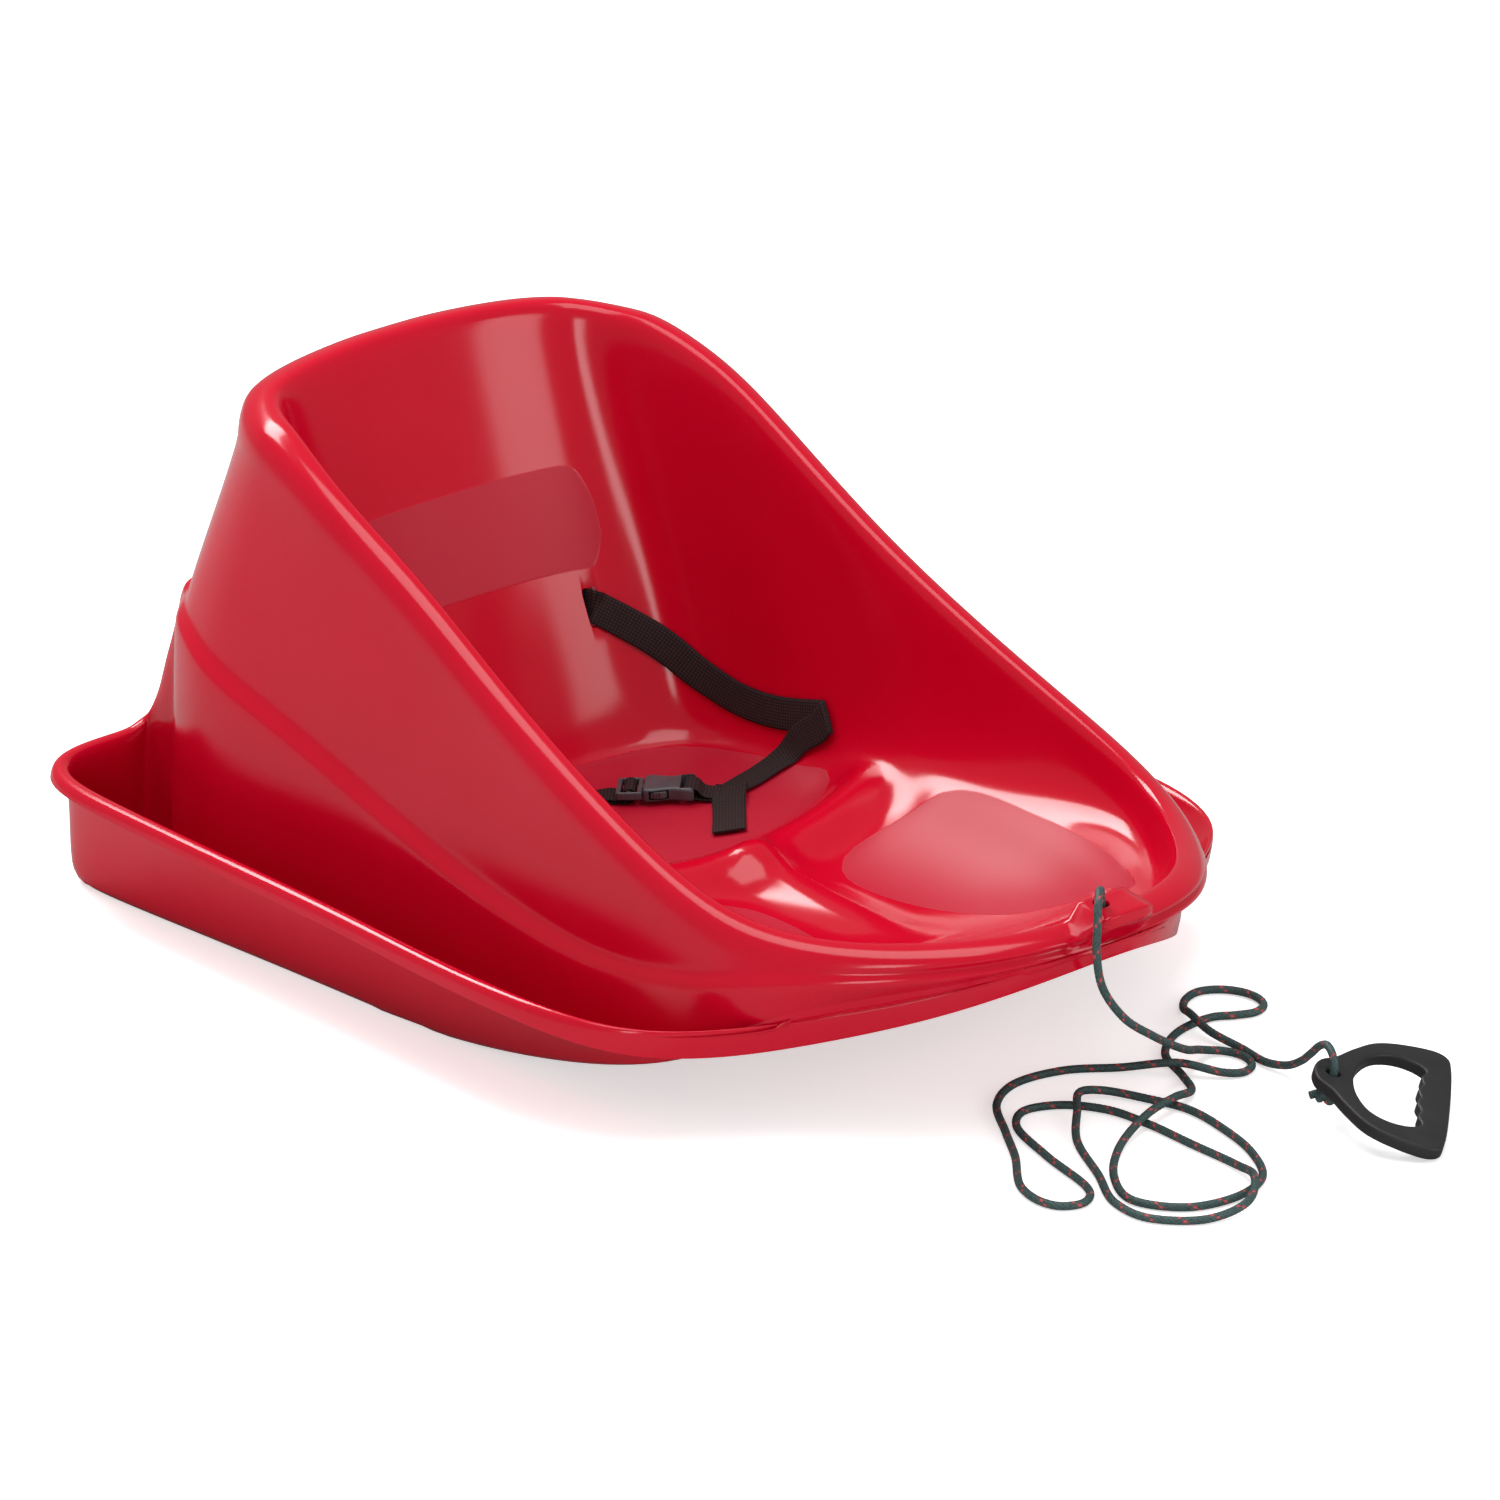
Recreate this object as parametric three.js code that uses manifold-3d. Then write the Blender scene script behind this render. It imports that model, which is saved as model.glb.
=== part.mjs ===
// Baby pull sled: a one-piece moulded bucket seat on two side runners, with a lap belt, a side-release
// buckle and a pull rope with a moulded handle.
// Millimetres. Nose towards -Y, back towards +Y, +Z up; the ground is z = 0 and the sled is mirrored in X.
import * as THREE from "three";
import Module from "manifold-3d";

const wasm = await Module();
wasm.setup();

// The sled's main sizes: shares below are of half the width, the length and the height.
const sledWidth = 520;
const sledLength = 700;
const sledHeight = 322;
const halfWidth = sledWidth / 2;
const wall = 3.5;

// The rolled rim, fuller behind than in front, the seat's lower corner, the ledge round the outer wall and
// the rolled outer lip.
const rimRoll = 10.5;
const rimFuller = 5.5;
const rimRise = 2.5;
const rimDrop = 16;
const rimCrease = 8;
const coveOut = 16;
const coveRise = 8;
const ledge = 4.5;
const ledgeWider = 2.5;
const ledgeBlend = 6;
const lipRoll = 6;
const lipFall = 9;
const troughBend = 12;
const hemOut = 7;
const hemFlare = 2;
const hemDrop = 8;

const red = new THREE.MeshStandardMaterial({ color: 0xb3102a, roughness: 0.24, metalness: 0 });
const webbing = new THREE.MeshStandardMaterial({ color: 0x2a2020, roughness: 0.85, metalness: 0 });
const darkGrey = new THREE.MeshStandardMaterial({ color: 0x4a4a50, roughness: 0.42, metalness: 0 });
const ropeGreen = new THREE.MeshStandardMaterial({ color: 0x3f5653, roughness: 0.8, metalness: 0 });
const black = new THREE.MeshStandardMaterial({ color: 0x2e2e30, roughness: 0.55, metalness: 0 });

const group = new THREE.Group();
group.name = "baby_pull_sled";

const place = ([x, y, z]) => [x * halfWidth, y * sledLength, z * sledHeight];
const add3 = (a, b, k = 1) => a.map((v, i) => v + k * b[i]);
const sub3 = (a, b) => a.map((v, i) => v - b[i]);
const dot3 = (a, b) => a[0] * b[0] + a[1] * b[1] + a[2] * b[2];
const cross3 = (a, b) => [
  a[1] * b[2] - a[2] * b[1], a[2] * b[0] - a[0] * b[2], a[0] * b[1] - a[1] * b[0],
];
const unit3 = (a) => a.map((v) => v / (Math.hypot(...a) || 1));
const mix3 = (a, b, t) => a.map((v, i) => v * (1 - t) + b[i] * t);
const clamp = (v, low, high) => Math.min(high, Math.max(low, v));
const ease = (a, b, v) => {
  const t = clamp((v - a) / (b - a), 0, 1);
  return t * t * (3 - 2 * t);
};

// A closed solid from vertices and triangles.
function solidOf(points, triangles) {
  return new wasm.Manifold(
    new wasm.Mesh({
      numProp: 3,
      vertProperties: new Float32Array(points.flat()),
      triVerts: new Uint32Array(triangles.flat()),
    }),
  );
}

// A named mesh from a solid.
function addPiece(name, solid, material) {
  const mesh = solid.getMesh();
  const geometry = new THREE.BufferGeometry();
  geometry.setAttribute("position", new THREE.BufferAttribute(new Float32Array(mesh.vertProperties), 3));
  geometry.setIndex(new THREE.BufferAttribute(new Uint32Array(mesh.triVerts), 1));
  geometry.computeVertexNormals();
  const made = new THREE.Mesh(geometry, material);
  made.name = name;
  group.add(made);
  return made;
}

// Shell: 24 stations run from the nose (0) round one side to the middle of the back (23). Each table
// holds one line along them: the rim's crest, the floor's edge, the step under the rim, the foot of the
const crestShares = [
  [0, -0.476, 0.391], [0.165, -0.47, 0.391], [0.331, -0.443, 0.385],
  [0.485, -0.381, 0.373], [0.604, -0.31, 0.379], [0.65, -0.237, 0.422],
  [0.635, -0.12, 0.516], [0.608, 0.016, 0.646], [0.592, 0.113, 0.767],
  [0.6, 0.207, 0.873], [0.585, 0.256, 0.919], [0.565, 0.291, 0.947], [0.55, 0.313, 0.96],
  [0.531, 0.331, 0.963], [0.512, 0.346, 0.966], [0.492, 0.357, 0.969],
  [0.469, 0.367, 0.972], [0.442, 0.377, 0.975], [0.404, 0.384, 0.978],
  [0.35, 0.391, 0.981], [0.277, 0.397, 0.984], [0.185, 0.401, 0.988],
  [0.092, 0.403, 0.991], [0, 0.403, 0.991],
];
const floorEdgeShares = [
  [0, -0.386], [0.123, -0.38], [0.246, -0.357], [0.354, -0.314], [0.427, -0.257],
  [0.454, -0.196], [0.454, -0.1], [0.45, 0.004], [0.442, 0.079], [0.442, 0.14],
  [0.438, 0.167], [0.427, 0.184], [0.412, 0.197], [0.396, 0.206], [0.377, 0.211],
  [0.354, 0.216], [0.335, 0.22], [0.308, 0.223], [0.281, 0.226], [0.238, 0.229],
  [0.188, 0.231], [0.127, 0.233], [0.062, 0.234], [0, 0.234],
];
const stepShares = [
  [0, -0.489, 0.37], [0.173, -0.48, 0.363], [0.358, -0.453, 0.351],
  [0.523, -0.394, 0.335], [0.658, -0.326, 0.323], [0.708, -0.25, 0.28],
  [0.7, -0.131, 0.248], [0.681, 0.004, 0.289], [0.673, 0.109, 0.345],
  [0.673, 0.213, 0.419], [0.677, 0.279, 0.463], [0.677, 0.329, 0.491],
  [0.669, 0.363, 0.516], [0.642, 0.391, 0.537], [0.615, 0.413, 0.55],
  [0.585, 0.427, 0.559], [0.554, 0.437, 0.565], [0.531, 0.444, 0.565],
  [0.5, 0.449, 0.568], [0.427, 0.453, 0.571], [0.335, 0.456, 0.575],
  [0.219, 0.457, 0.578], [0.108, 0.457, 0.578], [0, 0.457, 0.578],
];
const footShares = [
  [0, -0.494, 0.36], [0.177, -0.48, 0.342], [0.369, -0.439, 0.311],
  [0.535, -0.369, 0.273], [0.662, -0.32, 0.23], [0.723, -0.266, 0.149],
  [0.715, -0.141, 0.056], [0.708, 0.004, -0.002], [0.708, 0.109, -0.006],
  [0.708, 0.22, -0.006], [0.715, 0.29, -0.006], [0.712, 0.343, -0.006],
  [0.696, 0.38, -0.003], [0.669, 0.409, 0.005], [0.638, 0.431, 0.005],
  [0.608, 0.447, 0.005],
];
const troughShares = [
  [0, -0.496, 0.354], [0.177, -0.48, 0.332], [0.373, -0.434, 0.298],
  [0.546, -0.357, 0.248], [0.692, -0.309, 0.205], [0.765, -0.261, 0.137],
  [0.765, -0.144, 0.056], [0.765, 0.004, 0.002], [0.765, 0.109, -0.006],
  [0.769, 0.227, -0.006], [0.781, 0.369, -0.006], [0.788, 0.471, -0.006],
  [0.769, 0.499, -0.003], [0.669, 0.496, 0.003], [0.619, 0.486, 0.012],
  [0.592, 0.481, 0.012],
];
const lipShares = [
  [0, -0.497, 0.36], [0.177, -0.479, 0.332], [0.377, -0.429, 0.28],
  [0.554, -0.346, 0.22], [0.765, -0.301, 0.214], [0.942, -0.256, 0.23],
  [0.992, -0.149, 0.242], [0.962, -0.024, 0.236], [0.938, 0.094, 0.239],
  [0.923, 0.227, 0.239], [0.908, 0.376, 0.242], [0.896, 0.464, 0.245],
  [0.823, 0.499, 0.255], [0.692, 0.504, 0.255], [0.615, 0.503, 0.255],
  [0.577, 0.501, 0.261], [0.562, 0.501, 0.267], [0.546, 0.501, 0.276],
  [0.515, 0.497, 0.261],
];
const hemShares = [
  [0, -0.499, 0.335], [0.177, -0.479, 0.304], [0.373, -0.427, 0.242],
  [0.542, -0.34, 0.171], [0.742, -0.297, 0.158], [0.95, -0.257, 0.186],
  [1.008, -0.149, 0.21], [0.981, -0.024, 0.208], [0.958, 0.094, 0.213],
  [0.942, 0.227, 0.213], [0.927, 0.376, 0.219], [0.919, 0.464, 0.226],
  [0.842, 0.503, 0.235], [0.692, 0.5075, 0.233], [0.615, 0.5065, 0.23],
];
const spineShares = [
  -0.334, -0.32, -0.299, -0.263, -0.22, -0.169, -0.096, -0.014, 0.04, 0.089, 0.113, 0.13, 0.141,
  0.15, 0.154, 0.157, 0.16, 0.163, 0.166, 0.169, 0.171, 0.173, 0.174, 0.176,
];
// Which way each station faces in plan, in degrees from +X towards +Y, for the tub and for the lip.
const tubFacing = [
  -90, -83, -62, -45, -25, -5, 5, 4, 0, 0, 8, 18, 28, 38, 46, 53, 60, 67, 74, 80, 84, 87, 89, 90,
];
const lipFacing = [
  -90, -84, -72, -72, -66, -30, 2, 4, 3, 2, 3, 12, 50, 88, 90, 90, 90, 90, 90, 90, 90, 90, 90, 90,
];
const stationCount = tubFacing.length;

// The gusset that closes each trough behind: the rings from above the trough's foot to the hem.
const gussetShares = {
  15: [[0.585, 0.451, 0.121], [0.581, 0.453, 0.016], [0.581, 0.48, 0.016], [0.577, 0.49, 0.047],
    [0.573, 0.494, 0.224]],
  16: [[0.562, 0.454, 0.401], [0.562, 0.457, 0.276], [0.562, 0.474, 0.211], [0.562, 0.487, 0.18],
    [0.562, 0.496, 0.248]],
  17: [[0.542, 0.456, 0.565], [0.542, 0.463, 0.519], [0.542, 0.474, 0.444], [0.542, 0.486, 0.363],
    [0.542, 0.494, 0.314], [0.542, 0.5, 0.289], [0.542, 0.5045, 0.27], [0.542, 0.5065, 0.245]],
  18: [[0.51, 0.461, 0.543], [0.508, 0.466, 0.5], [0.508, 0.477, 0.425], [0.508, 0.489, 0.345],
    [0.508, 0.497, 0.295], [0.508, 0.503, 0.267], [0.508, 0.505, 0.248], [0.512, 0.5065, 0.227]],
};

// The tub's floor along the middle, and the raised features on it: the side curve of the seat, the deeper
// foot wells in front, the ridge across in front of the seat, and the pommel running forward from it.
const floorProfileShares = [
  [-0.493, 0.379], [-0.429, 0.348], [-0.386, 0.307], [-0.339, 0.255], [-0.279, 0.211], [-0.219, 0.189],
  [-0.16, 0.186], [-0.086, 0.189], [-0.04, 0.196], [0.019, 0.189], [0.093, 0.183], [0.174, 0.177],
  [0.234, 0.186], [0.307, 0.224],
];
const sideCurveShare = 0.037;
const wellCurveShare = 0.093;
const ridgeRiseShare = 0.04;
const ridgeEndRiseShare = 0.025;
const ridgePlaceShare = -0.034;
const ridgeSweepShare = 0.135;
const ridgeHalfShare = 0.03;
const pommelRiseShare = 0.05;
const pommelHalfShare = 0.065;
const pommelStartShare = -0.029;
const pommelRunShare = 0.243;

// The nose boss that the rope comes out of.
const bossHalf = 22;
const bossEdge = 5;
const bossRise = 11;
const bossFrontShare = -0.5066;
const bossBackShare = -0.357;

// A cubic curve through rows of [position, value].
function along(rows, at) {
  let i = 0;
  while (i < rows.length - 2 && at > rows[i + 1][0]) i++;
  const slope = (k) => {
    const a = rows[Math.max(0, k - 1)];
    const b = rows[Math.min(rows.length - 1, k + 1)];
    return (b[1] - a[1]) / (b[0] - a[0]);
  };
  const [x0, y0] = rows[i];
  const [x1, y1] = rows[i + 1];
  const run = x1 - x0;
  const t = (at - x0) / run;
  return (
    y0 * (2 * t ** 3 - 3 * t ** 2 + 1) + slope(i) * run * (t ** 3 - 2 * t ** 2 + t) +
    y1 * (3 * t ** 2 - 2 * t ** 3) + slope(i + 1) * run * (t ** 3 - t ** 2)
  );
}

// Height of the tub's floor at a place.
function floorHeight(x, y) {
  const side = Math.min(Math.abs(x) / halfWidth, 0.62);
  const back = y / sledLength;
  const base = along(floorProfileShares, clamp(back, -0.49, 0.3));
  const well = wellCurveShare * (1.926 * side) ** 3 * clamp((-back - 0.014) / 0.086, 0, 1);
  const curve = sideCurveShare * (2 * side) ** 3;
  const ridgeAt = ridgePlaceShare + ridgeSweepShare * side * side;
  const ridge = (ridgeRiseShare + ridgeEndRiseShare * (2 * side) ** 2) *
    Math.exp(-(((back - ridgeAt) / ridgeHalfShare) ** 2));
  const run = clamp((pommelStartShare - back) / pommelRunShare, 0, 1);
  const pommel = pommelRiseShare * (1 - run) ** 0.8 * Math.exp(-((side / pommelHalfShare) ** 2)) *
    clamp((pommelStartShare - back) / -pommelStartShare, 0, 1);
  return sledHeight * (base + well + curve + ridge + pommel);
}

// Control points: 23 rings from the middle of the floor out over the rim, down the outer wall, over its
// ledge, through the trough and over the lip to its hem. The ledge fades out towards the nose.
function controlNet() {
  const row = (table, s) => place([...table[Math.min(s, table.length - 1)], 0].slice(0, 3));
  const net = [];
  for (let s = 0; s < stationCount; s++) {
    const turn = (tubFacing[s] * Math.PI) / 180;
    const lipTurn = (lipFacing[s] * Math.PI) / 180;
    const out = [Math.cos(turn), Math.sin(turn), 0];
    const lipOut = [Math.cos(lipTurn), Math.sin(lipTurn), 0];
    const move = (p, o, z, dir = out) => [p[0] + dir[0] * o, p[1] + dir[1] * o, p[2] + z];
    const crest = row(crestShares, s);
    const edge = row(floorEdgeShares, s);
    edge[2] = floorHeight(edge[0], edge[1]);
    const spine = [0, spineShares[s] * sledLength, 0];
    spine[2] = floorHeight(0, spine[1]);
    const half = mix3(spine, edge, 0.58);
    half[2] = floorHeight(half[0], half[1]);
    const cove = move(edge, coveOut, coveRise);
    const upper = move(crest, -rimRoll, -2 * rimRoll);
    const roll = rimRoll + rimFuller * ease(8, 13, s);
    const step = row(stepShares, s);
    const foot = row(footShares, s);
    const trough = row(troughShares, s);
    const lip = row(lipShares, s);
    const deep = clamp((lip[2] - trough[2] - lipFall) / (5 * lipFall), 0, 1);
    const drop = clamp(0.6 * (crest[2] - step[2]), 0.25 * rimDrop, rimDrop + 0.8 * (roll - rimRoll));
    const under = move(crest, roll + wall, -drop);
    const marked = ease(4.5, 6.5, s);
    const shelf = ledge + ledgeWider * marked;
    const below = s < 18 ? move(step, shelf, -shelf) : move(step, hemOut, 1);
    const low = s < 18 ? move(foot, 0, troughBend * deep) : move(step, hemOut + hemFlare, -hemDrop);
    const rings = [
      spine, half, edge, cove, move(mix3(cove, upper, 0.4), wall, 0), move(crest, -roll, -2 * roll),
      move(crest, -0.6 * roll, 0), move(crest, 0, rimRise), move(crest, roll, -0.6 * rimRise), under,
      mix3(mix3(under, step, 0.33), move(crest, roll + 0.7 * wall, -drop - rimCrease), marked),
      mix3(mix3(under, step, 0.67), move(step, 0, ledgeBlend), marked),
      step, below, mix3(below, low, 0.5), low, foot, trough,
      move(trough, 0.8 * lipRoll * deep, troughBend * deep, lipOut),
      move(lip, -(lipFall + 1) * deep - 1 + deep, -(lipFall + 2) * deep + 2, lipOut),
      move(lip, -lipRoll * deep, 2, lipOut), move(lip, 1 + 0.5 * lipRoll * deep, 1, lipOut),
      row(hemShares, s),
    ];
    if (s === 17) rings[13] = move(step, ledge, 0);
    if (s < 18) rings[14] = mix3(rings[14], move(step, shelf + 1, -shelf - ledgeBlend), marked);
    (gussetShares[s] || []).forEach((p, i) => { rings[15 + i] = place(p); });
    if (s > 15 && s < 19) rings[14] = mix3(rings[13], rings[15], 0.5);
    net.push(rings);
  }
  return net;
}
const net = controlNet();
const ringCount = net[0].length;

// A point of the outer skin at a station and ring: a cubic B-spline sheet over the control points, with
// the nose boss pushed out of it, the floor's own shape inside it and the trough's foot flattened to rest.
function skinPoint(s, k) {
  const mirror = (p) => [-p[0], p[1], p[2]];
  const control = (i, j) => {
    if (i < 0) return mirror(control(1, j));
    if (i >= stationCount) return mirror(control(stationCount - 2, j));
    if (j < 0) return mirror(control(i, 1));
    if (j >= ringCount) return mix3(control(i, ringCount - 2), control(i, ringCount - 1), 2);
    return net[i][j];
  };
  const weights = (t) => [
    (1 - t) ** 3, 3 * t ** 3 - 6 * t * t + 4, -3 * t ** 3 + 3 * t * t + 3 * t + 1, t ** 3,
  ];
  const i = Math.min(Math.floor(s), stationCount - 2);
  const j = Math.min(Math.floor(k), ringCount - 2);
  const a = weights(s - i);
  const b = weights(k - j);
  let p = [0, 0, 0];
  for (let m = 0; m < 4; m++)
    for (let n = 0; n < 4; n++) p = add3(p, control(i + m - 1, j + n - 1), (a[m] * b[n]) / 36);
  const inBoss = p[1] < bossBackShare * sledLength ?
    1 - ease(bossHalf - bossEdge, bossHalf + bossEdge, Math.abs(p[0])) : 0;
  p[2] += bossRise * inBoss * ease(5.9, 6.9, k) * (1 - ease(12, 12.8, k));
  p[1] += (bossFrontShare * sledLength - p[1]) * inBoss * ease(7.4, 8.4, k) * (1 - ease(12, 12.8, k));
  const wallPart = ease(1.6, 2.8, k);
  p[2] = floorHeight(p[0], p[1]) * (1 - wallPart) + p[2] * wallPart;
  if (k > 14 && k < 20) p[2] = Math.max(p[2], wall);
  return p;
}

// The skin on a grid of both halves, thickened inwards by the wall. Behind the back the outer skin ends
// at ring 15, between the gussets.
const stationSteps = [
  0, 0.36, 0.5, 0.66, 1, 1.5, 2, 2.5, 3, 3.5, 4, 4.5, 5, 5.5, 6, 6.33, 6.67, 7, 7.33, 7.67, 8, 9, 10,
  11, 11.5, 12, 12.5, 13, 14, 15, 15.5, 16, 16.5, 17, 17.5, 18, 19, 20, 21, 22, 23,
];
const ringSteps = [
  0, 0.5, 1, 1.6, 2.3, 3.1, 4, 5, 5.7, 6.3, 6.9, 7.5, 8.1, 8.8, 9.5, 10.3, 11.2, 11.8, 12.3, 12.8,
  13.4, 14.2, 15, 16, 16.7, 17.5, 19, 19.7, 20.3, 21, 22,
];
function shellSolid() {
  const index = new Map();
  const points = [];
  const idOf = (p) => {
    const key = p.map((v) => Math.round(v * 500)).join();
    if (!index.has(key)) {
      index.set(key, points.length);
      points.push(p);
    }
    return index.get(key);
  };
  const grid = stationSteps.map((s) => ringSteps.map((k) => {
    const p = skinPoint(s, k);
    if (s === 0 || s === 23 || k === 0) p[0] = 0;
    return p;
  }));
  const triangles = [];
  const face = (...ids) => {
    if (new Set(ids).size === 3) triangles.push(ids);
  };
  for (const flip of [1, -1])
    for (let i = 0; i < grid.length - 1; i++)
      for (let j = 0; j < ringSteps.length - 1; j++) {
        if (stationSteps[i] >= 18 && ringSteps[j] >= 15) continue;
        const [a, b, c, d] = [grid[i][j], grid[i + 1][j], grid[i + 1][j + 1], grid[i][j + 1]]
          .map((p) => idOf([p[0] * flip, p[1], p[2]]));
        if (flip > 0) {
          face(a, c, b);
          face(a, d, c);
        } else {
          face(a, b, c);
          face(a, c, d);
        }
      }
  const normals = points.map(() => [0, 0, 0]);
  for (const [a, b, c] of triangles) {
    const n = cross3(sub3(points[b], points[a]), sub3(points[c], points[a]));
    for (const v of [a, b, c]) normals[v] = add3(normals[v], n);
  }
  const count = points.length;
  const resting = (p) => Math.abs(p[2] - wall) < 1e-6;
  const inner = points.map((p, i) => add3(p, resting(p) ? [0, 0, 1] : unit3(normals[i]), -wall));
  const edges = new Map();
  for (const t of triangles)
    for (let e = 0; e < 3; e++) edges.set(t[e] + "," + t[(e + 1) % 3], [t[e], t[(e + 1) % 3]]);
  const all = triangles.slice();
  for (const [a, b, c] of triangles) all.push([a + count, c + count, b + count]);
  for (const [a, b] of edges.values())
    if (!edges.has(b + "," + a)) all.push([b, a, a + count], [b, a + count, b + count]);
  return solidOf([...points, ...inner], all);
}

// Belt slots through the seat's back, and the rope's hole through the boss.
const slotAcross = 10;
const slotTall = 23;
const slotDeep = 40;
const slotShares = [0.331, 0.286, 0.438];
const ropeHoleRadius = 5;
const ropeHoleShares = [-0.03, -0.484, 0.43];
const ropeHoleLength = 40;
let shell = shellSolid();
for (const side of [-1, 1]) {
  const [x, y, z] = place(slotShares);
  shell = shell.subtract(
    wasm.Manifold.cube([slotAcross, slotDeep, slotTall], true).translate([side * x, y, z]),
  );
}
shell = shell.subtract(
  wasm.Manifold.cylinder(ropeHoleLength, ropeHoleRadius, ropeHoleRadius, 20, true)
    .translate(place(ropeHoleShares)),
);
addPiece("shell", shell, red);

// Lap belt and buckle sizes.
const webbingWidth = 20;
const webbingThick = 1.4;
const fit = 0.35;
const buckleHalf = 12.8;
const buckleTall = 8.6;
const buckleRide = 7;
const buckleShares = [0.173, 0.143];
const buckleHeading = [0.694, -0.72];

// A closed strap through rows of [centre, direction across, slant]; it bends between the rows.
function strap(rows, per) {
  const line = [];
  const spot = (i) => rows[clamp(i, 0, rows.length - 1)];
  for (let i = 0; i < rows.length - 1; i++) {
    const [p0, p1, p2, p3] = [spot(i - 1)[0], spot(i)[0], spot(i + 1)[0], spot(i + 2)[0]];
    const gap = (a, b) => Math.max(Math.sqrt(Math.hypot(...sub3(b, a))), 0.1);
    const [d0, d1, d2] = [gap(p0, p1), gap(p1, p2), gap(p2, p3)];
    const lean = (a, b, c, da, db) => a.map((v, n) =>
      ((b[n] - v) / da - (c[n] - v) / (da + db) + (c[n] - b[n]) / db) * d1);
    const m1 = i === 0 ? sub3(p2, p1) : lean(p0, p1, p2, d0, d1);
    const m2 = i === rows.length - 2 ? sub3(p2, p1) : lean(p1, p2, p3, d1, d2);
    for (let n = 0; n < per; n++) {
      const t = n / per;
      const centre = p1.map((v, k) => v * (2 * t ** 3 - 3 * t * t + 1) + m1[k] * (t ** 3 - 2 * t * t + t) +
        p2[k] * (3 * t * t - 2 * t ** 3) + m2[k] * (t ** 3 - t * t));
      line.push([centre, mix3(unit3(spot(i)[1]), unit3(spot(i + 1)[1]), t),
        (spot(i)[2] || 0) * (1 - t) + (spot(i + 1)[2] || 0) * t]);
    }
  }
  const end = rows[rows.length - 1];
  line.push([end[0], end[1], end[2] || 0]);
  const points = [];
  line.forEach(([centre, across, slant], i) => {
    const ahead = unit3(sub3(line[Math.min(i + 1, line.length - 1)][0], line[Math.max(i - 1, 0)][0]));
    const side = unit3(add3(across, ahead, -dot3(across, ahead)));
    const face = cross3(ahead, side);
    const half = add3(side, ahead, slant).map((v) => (v * webbingWidth) / 2);
    for (const [a, b] of [[1, 1], [-1, 1], [-1, -1], [1, -1]])
      points.push(add3(add3(centre, half, a), face, (b * webbingThick) / 2));
  });
  const triangles = [[0, 1, 2], [0, 2, 3]];
  for (let i = 0; i < line.length - 1; i++)
    for (let e = 0; e < 4; e++) {
      const [a, b] = [4 * i + e, 4 * i + ((e + 1) % 4)];
      triangles.push([a, b + 4, b], [a, a + 4, b + 4]);
    }
  const top = 4 * (line.length - 1);
  triangles.push([top, top + 2, top + 1], [top, top + 3, top + 2]);
  const made = solidOf(points, triangles);
  if (made.volume() > 0) return made;
  return solidOf(points, triangles.map(([a, b, c]) => [a, c, b]));
}

// The buckle's own frame: along it from plug to socket, across it, and up off the floor it lies on.
const buckleAt = [buckleShares[0] * halfWidth, buckleShares[1] * sledLength, 0];
buckleAt[2] = floorHeight(buckleAt[0], buckleAt[1]);
function floorLean(dx, dy) {
  const [x, y] = buckleAt;
  return (floorHeight(x + dx * webbingWidth, y + dy * webbingWidth) -
    floorHeight(x - dx * webbingWidth, y - dy * webbingWidth)) / (2 * webbingWidth);
}
const [headX, headY] = buckleHeading;
const ahead = unit3([headX, headY, floorLean(headX, headY)]);
const across = unit3([-headY, headX, floorLean(-headY, headX)]);
const up = cross3(ahead, across);
buckleAt[2] += buckleRide;
const inBuckle = (u, v, w) => add3(add3(add3(buckleAt, ahead, u), across, v), up, w);
const toBuckle = (solid) => solid.transform([...ahead, 0, ...across, 0, ...up, 0, ...buckleAt, 1]);
const onFloor = (u, v, rise) => {
  const [x, y] = inBuckle(u, v, 0);
  return [x, y, floorHeight(x, y) + rise];
};

// Places along the buckle, measured from its middle.
const plugEnd = -24;
const plugFront = -8;
const slotA = [-20.9, -17.5];
const slotB = [-14.5, -11.1];
const mouth = -7.6;
const socketEnd = 23;
const socketSlot = [14.6, 19.2];
const wellEnd = 10;
const wellHalf = 10.2;
const wellTall = 5.8;
const windowSpan = [-4, 8];
const plugTall = 5;
const barTall = 4;
const armTall = 4.4;
const slotOver = 2;

const slab = (u0, u1, v0, v1, w0, w1) =>
  wasm.Manifold.cube([u1 - u0, v1 - v0, w1 - w0], false).translate([u0, v0, w0]);
const plate = (outline, tall) =>
  wasm.Manifold.extrude([outline], tall).translate([0, 0, -tall / 2]);

// Socket: a waisted box, open at the mouth and through both sides, with a bar at its end for the webbing.
const socketMiddle = (mouth + socketEnd) / 2;
const socketHalfLength = (socketEnd - mouth) / 2;
const socketWidthShares = [
  [-1, 0.93], [-0.93, 1], [-0.62, 1], [-0.3, 0.9], [0.05, 0.84], [0.38, 0.95], [0.62, 1.02], [0.94, 1.02],
  [1, 0.95],
];
const socketOutline = [
  ...socketWidthShares.map(([u, v]) => [u * socketHalfLength, -v * buckleHalf]),
  ...socketWidthShares.slice().reverse().map(([u, v]) => [u * socketHalfLength, v * buckleHalf]),
];
const over = buckleTall;
const loopHalf = webbingWidth / 2 + 1;
const bevel = 1.2;
const bevelShares = [0.955, 0.93];
let socket = plate(socketOutline, buckleTall - 2 * bevel);
const cap = wasm.Manifold.extrude([socketOutline], bevel, 0, 0, bevelShares)
  .translate([0, 0, buckleTall / 2 - bevel]);
socket = socket.add(cap).add(cap.mirror([0, 0, 1])).translate([socketMiddle, 0, 0]);
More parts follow.
